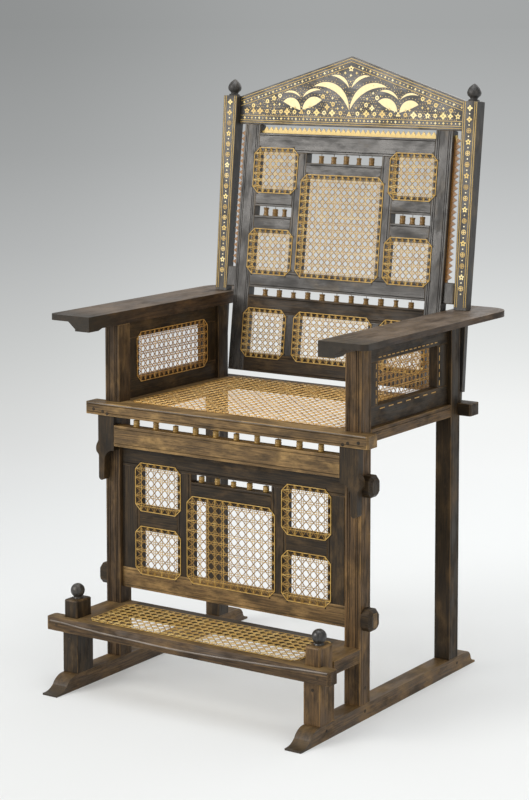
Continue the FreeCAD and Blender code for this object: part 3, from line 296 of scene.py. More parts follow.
for side, way in SIDES:
    dressed(f"runner_{side}", "kicked", "Y", "worn_wood", width=1.6)
    dressed(f"front_leg_{side}", "trodden" if way < 0 else "brown", "Z", "worn_wood", width=1.4,
            lines=[(-Y, X, (5, 9, -5, -9)), (way * X, Y, (4, 12, -5))])
    # The rear legs take the dark finish as painted shade: the chair shadows them.
    dressed(f"rear_leg_{side}", "smoked", "Z", "worn_wood", width=1.4, lines=[(way * X, Y, (4, -5))])

# Footrest
# A caned board on two short posts, trapped under the panel between the legs. Its front rail swells
# in a hollow bevel, and each post carries a turned ball, its spigot dowelled into the block.


def lobed(radius, count, lobes=1, depth=0.0):
    """A count of points round a circle, drawn in between its lobes by a share of the radius."""
    points = []
    for step in range(count):
        angle = math.tau * step / count
        reach = radius * (1 - depth * (0.5 - 0.5 * math.cos(lobes * angle)))
        points.append((reach * math.sin(angle), reach * math.cos(angle)))
    return points


def lathe(outline, centre=(0, 0, 0), turn=UPRIGHT, sides=32):
    """A turned shape from its radius and height in mm, closed at both ends on the axis."""
    mesh = bmesh.new()
    rings = []
    for radius, height in outline:
        if radius == 0:
            rings.append([mesh.verts.new((0, 0, height * MM))] * sides)
            continue
        rings.append([mesh.verts.new((x * MM, y * MM, height * MM)) for y, x in lobed(radius, sides)])
    for low, high in zip(rings, rings[1:]):
        for step in range(sides):
            corners = [low[step], low[step - sides + 1], high[step - sides + 1], high[step]]
            corners = list(dict.fromkeys(corners))
            if len(corners) > 2:
                mesh.faces.new(corners)
    mesh.transform(turn @ Matrix.Translation(Vector(centre) * MM))
    bmesh.ops.recalc_face_normals(mesh, faces=mesh.faces)
    return mesh


def merge(*meshes):
    """Several meshes made one."""
    together = bmesh.new()
    for mesh in meshes:
        data = bpy.data.meshes.new("part")
        mesh.to_mesh(data)
        together.from_mesh(data)
        bpy.data.meshes.remove(data)
        mesh.free()
    return together


def block(low, high, width):
    """A block between two corners in mm, its edges eased by a width."""
    mesh = bmesh.new()
    bmesh.ops.create_cube(mesh, size=1)
    size, middle = (Vector(high) - Vector(low)) * MM, (Vector(high) + Vector(low)) * MM / 2
    mesh.transform(Matrix.Translation(middle) @ Matrix.Diagonal((*size, 1)))
    ease(mesh, width)
    return mesh


# The ball's outline: a spigot, a neck, and the round over it.
BALL_RADIUS, NECK_RADIUS, NECK_HEIGHT = 14, 8.5, 4
start = -math.acos(NECK_RADIUS / BALL_RADIUS)
centre = NECK_HEIGHT - BALL_RADIUS * math.sin(start)
turns = [start + (math.pi / 2 - start) * step / 14 for step in range(14)]
BALL = [(0, -1), (NECK_RADIUS + 1.5, -1), (NECK_RADIUS + 1.5, 1), (NECK_RADIUS, 2)]
BALL += [(BALL_RADIUS * math.cos(turn), centre + BALL_RADIUS * math.sin(turn)) for turn in turns]
BALL += [(0, centre + BALL_RADIUS)]

# Stained and waxed nearly black, as the back is too: it greys with age and still holds a polish.
FINISHES["ebonised"] = dict(dark="#201f1e", fibre="#44423f", rubbed="#75664f", grime="#141311",
                            dust="#625d54", rub=0.35, dusting=0.35, gloss=0.34, shine=0.55)

# The post is widest up to its shoulder, which carries the board, and its block is set in over it.
SHOULDER, BLOCK_TOP, SET_IN = 114.7, 176, 2
for side, kind in (("left", "smoked"), ("right", "brown")):
    low, high = (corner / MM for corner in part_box(f"footrest_post_{side}"))
    lower = block(low, (high.x, high.y, SHOULDER), 1.4)
    upper = block((low.x + SET_IN, low.y + SET_IN, SHOULDER - 1),
                  (high.x - SET_IN, high.y - SET_IN, BLOCK_TOP), 3.2)
    show(merge(lower, upper), f"wood_footrest_post_{side}", wood(kind, "Z"), "chair", "worn_wood",
         f"footrest_post_{side}")
    ball = lathe(BALL, ((low.x + high.x) / 2, (low.y + high.y) / 2, BLOCK_TOP))
    show(ball, f"ball_{side}", wood("ebonised", "Z"), "chair", "dark_wood", smooth=True)
    dressed(f"footrest_side_rail_{side}", "brown", "Y", "worn_wood")
dressed("footrest_front_rail", "trodden", "X", "worn_wood", width=1.2)
dressed("footrest_rear_rail", "smoked", "X", "worn_wood")

# Seat frame, apron and brackets
# Rails halved round the legs, the front and rear ones running on as horns. Under the front rail a
# deep apron hangs between two sawn brackets.


def boxes(node, matrix=UPRIGHT):
    """The low and high corners in mm of a node's separate solids, in a frame."""
    mesh = welded(node)
    mesh.transform(matrix.inverted())
    found = []
    for solid in islands(mesh):
        places = [vert.co / MM for face in solid for vert in face.verts]
        low = Vector(min(place[axis] for place in places) for axis in range(3))
        high = Vector(max(place[axis] for place in places) for axis in range(3))
        found.append((low, high))
    mesh.free()
    return sorted(found, key=lambda corners: (round(corners[0].z), corners[0].x))


def old_bone(name, dark, middle, light, roughness=0.42):
    """Bone or horn gone yellow: stained along its grain, and each inlaid piece in a tone of its own."""
    material, tree, shader, place = bare(name)
    stain = figure(tree, place, "Z", 5, 11, 3)
    tone = add(tree, "ShaderNodeAttribute", output="Fac", attribute_name="tone")
    share = add(tree, "ShaderNodeMath", (stain, 0.4), operation="MULTIPLY")
    shade = add(tree, "ShaderNodeMath", (tone, 0.6, share), operation="MULTIPLY_ADD")
    colour = add(tree, "ShaderNodeValToRGB", [shade], stops=[(0.1, dark), (0.5, middle), (0.9, light)])
    bump = add(tree, "ShaderNodeBump", {"Strength": 0.3, "Distance": 0.2 * MM, "Height": stain})
    fill(tree, shader, {"Base Color": colour, "Roughness": roughness, "IOR": 1.54, "Normal": bump})
    return material


# Turned horn and bone, stained amber, and browner in the back.
AMBER_HORN = old_bone("amber_stained_horn", "#8a6831", "#d3b15d", "#fbe692", 0.3)
BROWN_HORN = old_bone("brown_stained_horn", "#65491f", "#b38b40", "#f6da80", 0.3)
# A spool's radius and height as shares of its own: its foot, two turned rings and its crown.
SPOOL_SHARES = [(0, 0), (0.92, 0), (1, 0.04), (1, 0.2), (0.87, 0.25), (1, 0.3), (1.03, 0.45), (1, 0.6),
                (0.87, 0.66), (1, 0.72), (1, 0.93), (0.9, 1), (0.1, 1)]
PIN_SHARE = 0.1


def spools(node, body, radius=6, matrix=UPRIGHT, horn=AMBER_HORN, rise_share=0.74, waist=0.0):
    """A row of turned spools: each stands on its rail, and a thin pin holds it to the rail above."""
    turned = []
    for number, (low, high) in enumerate(boxes(node, matrix)):
        gap = high.z - low.z
        # No two spools turned by hand are quite the same height, girth and waist.
        tall = gap * (rise_share + 0.08 * math.sin(2.4 * number))
        wide = radius * (1 + 0.06 * math.cos(1.7 * number))
        drawn_in = waist * (1 + math.sin(2.9 * number + 1))
        outline = [(wide * share * (1 - drawn_in * math.sin(math.pi * rise)), tall * rise)
                   for share, rise in SPOOL_SHARES]
        outline += [(wide * PIN_SHARE, gap), (0, gap)]
        middle = (low + high) / 2
        turned.append(lathe(outline, (middle.x, middle.y, low.z), matrix, sides=20))
    show(merge(*turned), f"spools_{node}", horn, body, "bone", node, smooth=True)


# The oiled wood where knees, calves and hands rub it pale: the seat's front and the apron.
FINISHES["pale"] = dict(dark="#4a3921", fibre="#8b6e45", rubbed="#b9965f", grime="#2a2013",
                        dust="#94794d", rub=0.7, shine=0.35)
dressed("seat_front_rail", "pale", "X", "worn_wood", width=1.4, lines=[(-Y, Z, (-3.5, 4))])
dressed("seat_rear_rail", "smoked", "X", "worn_wood", width=2.4)
dressed("apron_board", "pale", "X", lines=[(-Y, Z, (5, -5))])
for side, way in SIDES:
    dressed(f"seat_side_rail_{side}", "brown", "Y", "worn_wood", width=1.2, lines=[(way * X, Z, (-6,))])
    dressed(f"apron_bracket_{side}", "smoked", "Z", width=1.6)
spools("apron_spindles", "chair")

# Panel between the front legs
# A ladder of stiles, rails and muntins, scratched with a line along each edge. The rails' tenons
# run through the legs into faceted blocks.

BOTH_EDGES = (4, -4)
dressed("calf_top_rail", "smoked", "X", lines=[(-Y, Z, BOTH_EDGES)])
dressed("calf_bottom_rail", "pale", "X", "worn_wood", lines=[(-Y, Z, BOTH_EDGES)])
for piece in ("stiles", "muntins"):
    dressed(f"calf_{piece}", "smoked", "Z", lines=[(-Y, X, BOTH_EDGES)])
for piece in ("cross_bars", "gallery_bar"):
    dressed(f"calf_{piece}", "smoked", "X", lines=[(-Y, Z, BOTH_EDGES)])
spools("calf_spindles", "chair", 5.6)
dressed("tenon_end_blocks", "smoked", "X", "worn_wood", width=1.2)

# Arms and the panels under them
# Wide flat arms, thin outside the legs, over a framed panel that is laced through its frame.

# Bleached grey by light and hands over the reddish wood of the edges, and black at the handled nose.
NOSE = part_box("arm_right")[0].y / MM
FINISHES["weathered"] = dict(dark="#291d13", fibre="#54402a", rubbed="#7b5c3a", grime="#17120c",
                             dust="#74675a", dusting=0.75, gloss=0.42, shine=0.35,
                             sooty=(NOSE, NOSE + 130))
for side in ("left", "right"):
    dressed(f"arm_{side}", "weathered", "Y", "grey_wood", width=1.8)
    # The arm panels' dark finish is their own dark wood and painted shade under the arms.
    dressed(f"arm_panel_rails_{side}", "smoked", "Y")
    dressed(f"arm_panel_stiles_{side}", "smoked", "Z")

# Lift-off back
# Two posts that drop through slots in the arms, a gabled head between them and a caned panel that
# leans on lugs. It lifts straight off.


def leaning(lean, depth, height):
    """The place of a frame that leans back by an angle, its foot at a depth and height in mm."""
    return Matrix.Translation((0, depth * MM, height * MM)) @ Matrix.Rotation(-math.radians(lean), 4, "X")


POSTS = leaning(5.1, 256.507, 733.3)
PANEL = leaning(7.4, 226.6, 570)
ahead = PANEL.to_3x3() @ -Y
upward = PANEL.to_3x3() @ Z
for side in ("left", "right"):
    dressed(f"back_post_{side}", "ebonised", "Z", body="back", width=1.2)
    dressed(f"back_stile_{side}", "ebonised", "Z", body="back", lines=[(ahead, X, (4, 8, -4, -8))])
for piece, kind in (("bottom", "smoked"), ("lower", "smoked"), ("middle", "ebonised"), ("top", "ebonised")):
    dressed(f"back_{piece}_rail", kind, "X", body="back", lines=[(ahead, upward, BOTH_EDGES)])
dressed("back_muntins", "ebonised", "Z", body="back", lines=[(ahead, X, BOTH_EDGES)])
dressed("back_short_bars", "ebonised", "X", body="back", lines=[(ahead, upward, BOTH_EDGES)])
dressed("back_lugs", "ebonised", "Z", body="back", width=2)
spools("back_spindles", "back", 6, PANEL, BROWN_HORN, 0.8, 0.13)
dressed("back_pediment", "ebonised", "X", body="back", width=1.4)

# Thin strips sawn into a row of teeth: yellowed bone under the head, and beside the panel the same bone
# painted brown as shade.
TOOTH_BONE = old_bone("yellowed_bone", "#d8b663", "#efda92", "#faeebf")
SHADED_SIDE_BONE = old_bone("shaded_bone_side_strips", "#7d5424", "#ad7c3b", "#d3a75f")
strips = show(whole("back_saw_strips"), "saw_strips", TOOTH_BONE, "back", "bone", "back_saw_strips")
strips.data.materials.append(SHADED_SIDE_BONE)
head_strip = boxes("back_saw_strips", PANEL)[-1][0].z
for face in strips.data.polygons:
    # Faces lower than the head's strip take the brown of painted shade.
    face.material_index = (PANEL.inverted() @ face.center).z / MM < head_strip

# A finial's radius and height in mm, from its foot to its tip.
FINIAL = [(0, 0), (11.5, 0), (12, 1), (11, 3.4), (8, 4.2), (7.6, 6), (9.5, 8.5), (13, 11.5), (14.4, 15.5),
          (14.5, 18.5), (13.4, 22.5), (11.4, 26.5), (8.4, 30), (5, 33), (2.2, 35), (0.9, 35.7), (0, 36)]
POST_AXIS, POST_MIDDLE, POST_TOP = 291.5, 15, 420
buds = [lathe(FINIAL, (way * POST_AXIS, POST_MIDDLE, POST_TOP), POSTS) for way in (-1, 1)]
show(merge(*buds), "finials", wood("ebonised", "Z"), "back", "dark_wood", "back_finials", smooth=True)

# Cane
# Split rattan in six ways: pairs of strands up and across, and one along each diagonal. They meet
# in holes along the four long sides of each field, under a thin binder pegged at its corners.

STRAND_THICKNESS, CUT_CORNER, HOLE_INSET = 0.6, 14, 1.2
# How high strands lie over the frame in mm: in their holes, where pairs weave over and under each
# other, and where a diagonal dips and rises.
HOLE_LIFT, DIAGONAL_HOLE_LIFT = 0.4, 0.6
WEAVE_LIFT, WEAVE_SWAY = 0.72, 0.2
DIP, RISE = 0.5, 1.25


def octagon(width, height, inset=0):
    """The corners of a rectangle about the origin with its corners cut off."""
    x, y, corner = width / 2 - inset, height / 2 - inset, CUT_CORNER - inset * 0.6
    half = [(corner - x, -y), (x - corner, -y), (x, corner - y), (x, y - corner)]
    return half + [(-across, -up) for across, up in half]


def strands(width, height, pitch, pair):
    """The strands of a field in mm: pairs first, then diagonals, as rows of (across, up, lift)."""
    columns = max(1, round((width - 2 * CUT_CORNER) / pitch))
    rows = max(1, round((height - 2 * CUT_CORNER) / pitch))
    left, low = CUT_CORNER - width / 2, CUT_CORNER - height / 2
    wide, tall = -2 * left / columns, -2 * low / rows
    side, end = width / 2 - HOLE_INSET, height / 2 - HOLE_INSET
    pairs, diagonals = [], []
    for way in (-1, 1):
        apart, sway = way * pair / 2, way * WEAVE_SWAY
        for column in range(columns + 1):
            across = left + column * wide
            woven = [(across + apart, low + step * tall / 2, WEAVE_LIFT - sway * (-1) ** step)
                     for step in range(2 * rows + 1)]
            pairs.append([(across, -end, HOLE_LIFT)] + woven + [(across, end, HOLE_LIFT)])
        for row in range(rows + 1):
            up = low + row * tall
            woven = [(left + step * wide / 2, up + apart, WEAVE_LIFT + sway * (-1) ** step)
                     for step in range(2 * columns + 1)]
            pairs.append([(-side, up, HOLE_LIFT)] + woven + [(side, up, HOLE_LIFT)])
    for start in range(1 - 2 * rows, 2 * columns, 2):
        u, v = max(start, 0), max(-start, 0)
        steps = min(2 * columns - u, 2 * rows - v)
        first = (left + (u - 1) / 2 * wide, -end) if u else (-side, low + (v - 1) / 2 * tall)
        woven = [(left + (u + step) * wide / 2, low + (v + step) * tall / 2, (DIP, RISE)[step % 2])
                 for step in range(steps + 1)]
        u, v = u + steps, v + steps
        last = (left + (u + 1) / 2 * wide, end) if v == 2 * rows else (side, low + (v + 1) / 2 * tall)
        line = [(*first, DIAGONAL_HOLE_LIFT)] + woven + [(*last, DIAGONAL_HOLE_LIFT)]
        diagonals.append(line)
        diagonals.append([(-across, up, DIP + RISE - lift) for across, up, lift in line])
    return pairs, diagonals


def begun(name, *inputs):
    """A new geometry tree, and its inputs: a drawing, a material and others by name and kind."""
    tree = bpy.data.node_groups.new(name, "GeometryNodeTree")
    for label, kind in (("Geometry", "Geometry"), *inputs, ("Material", "Material")):
        tree.interface.new_socket(label, in_out="INPUT", socket_type=f"NodeSocket{kind}")
    tree.interface.new_socket("Geometry", in_out="OUTPUT", socket_type="NodeSocketGeometry")
    return tree, add(tree, "NodeGroupInput", output=None).outputs


def ended(tree, shape, material):
    """Ends a geometry tree, so that what it made is real and has its material."""
    real = add(tree, "GeometryNodeRealizeInstances", [shape])
    painted = add(tree, "GeometryNodeSetMaterial", {"Geometry": real, "Material": material})
    add(tree, "NodeGroupOutput", [painted], None)
    return tree


# Turns each drawn line into a flat strip that lies on its frame.
tree, given = begun("Flat strand", ("Width", "Float"), ("Thickness", "Float"), ("Facing", "Vector"))
curve = add(tree, "GeometryNodeMeshToCurve", {"Mesh": given["Geometry"]})
curve = add(tree, "GeometryNodeSetCurveNormal", {"Curve": curve, "Normal": given["Facing"]}, mode="FREE")
ring = add(tree, "GeometryNodeCurvePrimitiveCircle", {"Resolution": 6, "Radius": 0.5})
size = add(tree, "ShaderNodeCombineXYZ", {"X": given["Thickness"], "Y": given["Width"]})
oval = add(tree, "GeometryNodeTransform", {"Geometry": ring, "Scale": size})
wide = add(tree, "GeometryNodeInputNamedAttribute", {"Name": "wide"}, "Attribute", data_type="FLOAT")
strip = add(tree, "GeometryNodeCurveToMesh",
            {"Curve": curve, "Profile Curve": oval, "Scale": wide, "Fill Caps": True})
FLAT_STRAND = ended(tree, strip, given["Material"])

# Sets one motif out at drawn points.
tree, given = begun("Set out", ("Motif", "Object"))
motif = add(tree, "GeometryNodeObjectInfo", {"Object": given["Motif"]}, "Geometry")
placed = add(tree, "GeometryNodeInstanceOnPoints", {"Points": given["Geometry"], "Instance": motif})
SET_OUT = ended(tree, placed, given["Material"])


def grown(name, data, tree, settings, body, nodes=(), matrix=UPRIGHT):
    """Runs a geometry tree on a drawing and makes the plain mesh that comes out a piece."""
    source = put(name + "_drawing", data)
    modifier = source.modifiers.new("Grow", "NODES")
    modifier.node_group = tree
    for socket in tree.interface.items_tree:
        if socket.item_type == "SOCKET" and socket.in_out == "INPUT" and socket.name in settings:
            modifier[socket.identifier] = settings[socket.name]
    bpy.context.view_layer.update()
    evaluated = source.evaluated_get(bpy.context.evaluated_depsgraph_get())
    made = bpy.data.meshes.new_from_object(evaluated)
    source.modifiers.remove(modifier)
    bpy.data.objects.remove(source)
    made.transform(matrix)
    return stand(name, made, body, nodes)


def spread(number):
    """A share from 0 to 1 that jumps about from one number to the next, by the golden ratio."""
    return (number * 0.618) % 1


def tag_points(data, name, values):
    """Gives each point of a drawing a value."""
    data.attributes.new(name, "FLOAT", "POINT").data.foreach_set("value", values)


def strips_along(name, lines, width, thickness, facing, material, body, nodes=(), matrix=UPRIGHT,
                 closed=False):
    """Flat strips of a size in mm along lines, each its points in mm, its tone and its width's share."""
    verts, edges, tones, shares = [], [], [], []
    for points, tone, share in lines:
        first = len(verts)
        verts += [Vector(point) * MM for point in points]
        edges += [(first + step, first + step + 1) for step in range(len(points) - 1)]
        if closed:
            edges.append((len(verts) - 1, first))
        tones += [tone] * len(points)
        shares += [share] * len(points)
    data = bpy.data.meshes.new(name)
    data.from_pydata(verts, edges, [])
    tag_points(data, "tone", tones)
    tag_points(data, "wide", shares)
    settings = {"Width": width * MM, "Thickness": thickness * MM, "Facing": facing, "Material": material}
    grown(name, data, FLAT_STRAND, settings, body, nodes, matrix)


def set_out(name, motif, places, material, body, matrix=UPRIGHT):
    """Sets a motif out at places in mm of a frame, each in its own tone."""
    shape = bpy.data.meshes.new("motif")
    motif.to_mesh(shape)
    motif.free()
    pattern = put("motif", shape)
    points = bpy.data.meshes.new(name)
    points.from_pydata([Vector(place) * MM for place in places], [], [])
    tag_points(points, "tone", [spread(number) for number in range(len(places))])
    grown(name, points, SET_OUT, {"Motif": pattern, "Material": material}, body, matrix=matrix)
    bpy.data.objects.remove(pattern)


def rattan(name, dark, middle, light):
    """Split rattan: glossy golden skin, each strand a little lighter or browner than the next."""
    material, tree, shader, place = bare(name)
    tone = add(tree, "ShaderNodeAttribute", output="Fac", attribute_name="tone")
    stain = add(tree, "ShaderNodeTexNoise", {"Vector": place, "Scale": 1 / (9 * MM), "Detail": 3})
    shade = add(tree, "ShaderNodeMath", (stain, 0.5, tone), operation="MULTIPLY_ADD")
    colour = add(tree, "ShaderNodeValToRGB", [shade], stops=[(0.2, dark), (0.5, middle), (0.85, light)])
    fill(tree, shader, {"Base Color": colour, "Roughness": 0.45, "IOR": 1.5})
    return material


# Most of the cane has stayed yellow; the seat's and the arm panels' has gone browner with wear.
YELLOW_RATTAN = rattan("split_rattan_cane", "#8a692d", "#c8a251", "#eed998")
BROWN_RATTAN = rattan("worn_rattan_cane", "#8a622a", "#c99a4b", "#f0d091")


def prism(outline, thickness, hole=()):
    """A thin chip that faces -Y, from its outline in mm, with a hole of as many points."""
    mesh = bmesh.new()
    rings = [[mesh.verts.new((x * MM, depth * MM, z * MM)) for x, z in loop]
             for loop in (outline, hole) if loop for depth in (0, -thickness)]
    joined = list(zip(rings[::2], rings[1::2]))
    joined += [rings[::2], rings[1::2]] if hole else []
    for one, other in joined:
        for step in range(len(outline)):
            mesh.faces.new([one[step - 1], one[step], other[step], other[step - 1]])
    for ring in () if hole else rings:
        mesh.faces.new(ring)
    bmesh.ops.recalc_face_normals(mesh, faces=mesh.faces)
    return mesh


# Pegs driven into the strands' holes: hardwood gone black with dirt.
PEG = hardwood("black_peg", "Z", dark="#1b1510", fibre="#3a2c1d", rubbed="#4d3c28", grime="#0f0c09",
               dust="#3a2f22", rub=0.3, dusting=0.2, gloss=0.5)
PEG_RADIUS, PEG_HEIGHT, PEG_GAP = 1.9, 0.25, 0.6
BINDER_WIDTH, BINDER_THICKNESS, BINDER_INSET = 1.8, 0.7, 1.6


def caned(node, body, axes, matrix=UPRIGHT, facing=-1, pitch=16.5, strand=1.7, pair=4.4, diagonal=1.0,
          tone=0.0, pegged=False, cane=YELLOW_RATTAN):
    """Weaves cane over each field of a node: axes are its across, up and outward directions."""
    across, up, out = axes
    lines, rims, pegs = [], [], []
    for low, high in boxes(node, matrix):
        width, height = high[across] - low[across], high[up] - low[up]
        middle = (low + high) / 2
        base = high[out] if facing < 0 else low[out]

        def spot(u, v, lift):
            place = Vector((0, 0, 0))
            place[across], place[up] = middle[across] + u, middle[up] + v
            place[out] = base + facing * lift
            return place

        pairs, diagonals = strands(width, height, pitch, pair)
        lines += [([spot(*point) for point in line], tone + 0.3 + 0.3 * spread(number), 1)
                  for number, line in enumerate(pairs)]
        lines += [([spot(*point) for point in line], tone + 0.3 * spread(number), diagonal)
                  for number, line in enumerate(diagonals)]
        rims.append(([spot(u, v, RISE) for u, v in octagon(width, height, BINDER_INSET)], 0.25, 1))
        pegs += [spot(u, v, 0) for u, v in octagon(width, height, -PEG_GAP)]
    direction = Vector((0, 0, 0))
    direction[out] = facing
    strips_along(f"weave_{node}", lines, strand, STRAND_THICKNESS, direction, cane, body,
                 [node], matrix)
    strips_along(f"binder_{node}", rims, BINDER_WIDTH, BINDER_THICKNESS, direction, cane, body,
                 matrix=matrix, closed=True)
    if pegged:
        head = prism(lobed(PEG_RADIUS, 10), PEG_HEIGHT)
        set_out(f"pegs_{node}", head, pegs, PEG, body, matrix)


caned("seat_cane", "chair", (0, 1, 2), facing=1, strand=2.1, pair=3.6, cane=BROWN_RATTAN)
caned("footrest_cane", "chair", (0, 1, 2), facing=1, strand=1.9, pair=3.8, tone=-0.12)
for field, pitch in (("corner", 17.4), ("centre", 18)):
    caned(f"calf_{field}_cane", "chair", (0, 2, 1), pitch=pitch, strand=1.3, pair=3.8, diagonal=1.3,
          tone=-0.3, pegged=True)
for side, way in SIDES:
    caned(f"arm_cane_{side}", "chair", (1, 2, 0), facing=-way, pitch=15.6, strand=1.6, tone=-0.28,
          cane=BROWN_RATTAN)
for field in ("upper", "lower"):
    caned(f"back_{field}_cane", "back", (0, 2, 1), PANEL, pitch=14.3, strand=1.3, pair=3.3, diagonal=1.2,
          tone=-0.14, pegged=True)

# The arm panels' outer faces show where the cane is laced through: short stitches from hole to hole.
STITCH_LIFT, STITCH_WIDTH, STITCH_STEP, STITCH_INSET, STITCH_CLEAR = 0.3, 2.2, 16.5, 3, 12


def stepped(low, high, step):
    """Places in mm a step apart between two ends, clear of both."""
    count = int((high - low - 2 * STITCH_CLEAR) / step)
    return [(low + high + (2 * number - count) * step) / 2 for number in range(count + 1)]


for side, way in SIDES:
    low, high = boxes(f"arm_panel_stiles_{side}")[0]
    face = way * (max(abs(low.x), abs(high.x)) + STITCH_LIFT)
    low, high = boxes(f"arm_cane_{side}")[0]
    laces = []
    for row, step, half in ((high.z - STITCH_INSET, STITCH_STEP, 4.75),
                            (low.z + STITCH_INSET, 2 * STITCH_STEP, 8.5)):
        laces += [[(face, y - half, row), (face, y + half, row)] for y in stepped(low.y, high.y, step)]
    for column in (low.y + STITCH_INSET, high.y - STITCH_INSET):
        laces += [[(face, column, z - 5), (face, column, z + 5)]
                  for z in stepped(low.z, high.z, STITCH_STEP)]
    strips_along(f"stitches_{side}", [(lace, 0.3, 1) for lace in laces], STITCH_WIDTH, STRAND_THICKNESS,
                 X * way, BROWN_RATTAN, "chair")

# Dowels and painted highlights
# Round pins lock the joints: their ends show in the rails, the posts and the runners, cut off
# nearly flush. A pale strip along the front rails' upper edges is a painted highlight on the arris.

DOWEL_RADIUS = 3.4


def dowels(name, places, matrix=UPRIGHT):
    """Dowel ends at places (across, depth, up) in mm on faces that a turn points at -Y."""
    outline = [(0, -0.4), (DOWEL_RADIUS, -0.4), (DOWEL_RADIUS, 0.25), (DOWEL_RADIUS - 0.35, 0.5), (0, 0.6)]
    pin = lathe(outline, turn=Matrix.Rotation(math.pi / 2, 4, "X"), sides=16)
    set_out(name, pin, places, wood("smoked", "X"), "chair", matrix)


# Three pins in each of the seat rail's joints, and one at each end of the footrest's rail.
rail_low, rail_high = boxes("seat_front_rail")[0]
rest_low, rest_high = boxes("footrest_front_rail")[0]
spots = [(way * across, rail_low.y, rail_low.z + height)
         for way in (-1, 1) for across, height in ((310, 11), (287, 8), (276, 4.5))]
spots += [(way * 304, rest_low.y, (rest_low.z + rest_high.z) / 2) for way in (-1, 1)]
dowels("front_dowels", spots)
post = boxes("footrest_post_right")[0][0]
dowels("post_dowels", [(way * (post.x + 20), post.y, 97) for way in (-1, 1)])

# Across and up on the outer sides: three in each runner, and one in a leg at the seat and at the foot.
outer_face = boxes("front_leg_right")[0][1].x
for side, way in SIDES:
    spots = [(way * across, -outer_face, height)
             for across, height in ((-254, 17), (-118, 17), (242, 17), (-118, 540), (-118, 62))]
    dowels(f"outer_dowels_{side}", spots, Matrix.Rotation(way * math.pi / 2, 4, "Z"))

# The strips are a painted highlight in pale grey wood, standing just proud of the rails' upper edges.
# The footrest's line (x, z) in mm dips along its front rail, lowest a little left of the middle.
HIGHLIGHT_LINE = [(-319, 134), (-294, 134), (-244, 131), (-194, 129), (-145, 128), (-97, 127), (-49, 126),
             (-2, 126), (75, 128), (150, 131), (224, 134), (267, 137), (300, 138), (325, 139)]
PAINTED_HIGHLIGHT = hardwood("painted_highlight_bead", "X", dark="#5b5148", fibre="#8d8378", rubbed="#aba094",
                    grime="#3a322a", dust="#a79c8f", rub=0.5, gloss=0.34, shine=0.5)
highlight_lines = [([(x, rest_low.y, z) for x, z in HIGHLIGHT_LINE], 0, 1),
         ([(x, rail_low.y, rail_high.z - 2) for x in (rail_low.x + 6, rail_high.x - 6)], 0, 0.7)]
strips_along("worn_beads", highlight_lines, 3.2, 1.2, -Y, PAINTED_HIGHLIGHT, "chair")

# Inlay
# Bone let into the blackened head and posts: paired fronds, leaves and crescents between rows of
# flowers, rings and stars, with fine ruled lines along every edge.

BLADE_BONE = old_bone("polished_bone_blades", "#e6cf8f", "#f5e6b4", "#fff4cf", 0.3)
INLAY_BONE = old_bone("polished_bone_inlay", "#c8a24a", "#ead07c", "#fbf0bb", 0.34)
LINE_BONE = old_bone("yellowed_bone_lines", "#a3823f", "#d3b264", "#e8d093", 0.38)
# How far the bone stands over the wood, and the head's height at its two ends, in mm.
CHIP, EAVES = 0.45, 60
head_low, head_high = boxes("back_pediment", POSTS)[0]
HEAD_DEPTH, HEAD_LOW, HEAD_HIGH, HEAD_HALF = head_low.y, head_low.z, head_high.z, head_high.x


def slope(across):
    """The head's height in mm over its lower edge, at a distance from its middle."""
    return HEAD_HIGH - HEAD_LOW - (HEAD_HIGH - HEAD_LOW - EAVES) * abs(across) / HEAD_HALF


def arc(first, middle, last, steps=14):
    """Points on the circle through three points, without the last one."""
    first, middle, last = complex(*first), complex(*middle), complex(*last)
    share = (last - first) / (middle - first)
    centre = first + (middle - first) * (share - abs(share) ** 2) / (2j * share.imag)
    reach = first - centre
    turn = cmath.phase((last - centre) / reach) % math.tau
    if cmath.phase((middle - centre) / reach) % math.tau > turn:
        turn -= math.tau
    spots = [centre + reach * cmath.exp(1j * turn * step / steps) for step in range(steps)]
    return [(spot.real, spot.imag) for spot in spots]


# Each blade as its two tips and the middles of its outer and inner edges, on the left of the middle.
BLADES = {
    "frond": ((-90, 83.9), (-34, 88), (-1.1, 35.8), (-32, 70.5)),
    "crest": ((-47.4, 106.8), (-18, 104), (-3, 81.6), (-22, 98.5)),
    "leaf_outer": ((-164.8, 50.1), (-141, 58.5), (-120.8, 33), (-144, 40.5)),
    "crescent_outer": ((-164.1, 68.1), (-141, 73.6), (-121.1, 59.5), (-142, 69)),
    "crescent_inner": ((-116.8, 59.5), (-98, 77.3), (-71.6, 76.2), (-95, 72)),
    "leaf_inner": ((-115.4, 34.6), (-98, 60), (-68.7, 55.3), (-86, 44)),
}
chips = []
for blade in BLADES.values():
    for way in (1, -1):
        first, outer, last, inner = ((way * x, z + HEAD_LOW) for x, z in blade)
        chips.append(prism(arc(first, outer, last) + arc(last, inner, first), CHIP))
blades = merge(*chips)
blades.transform(POSTS @ Matrix.Translation((0, HEAD_DEPTH * MM, 0)))
show(blades, "inlay_blades", BLADE_BONE, "back", "bone")

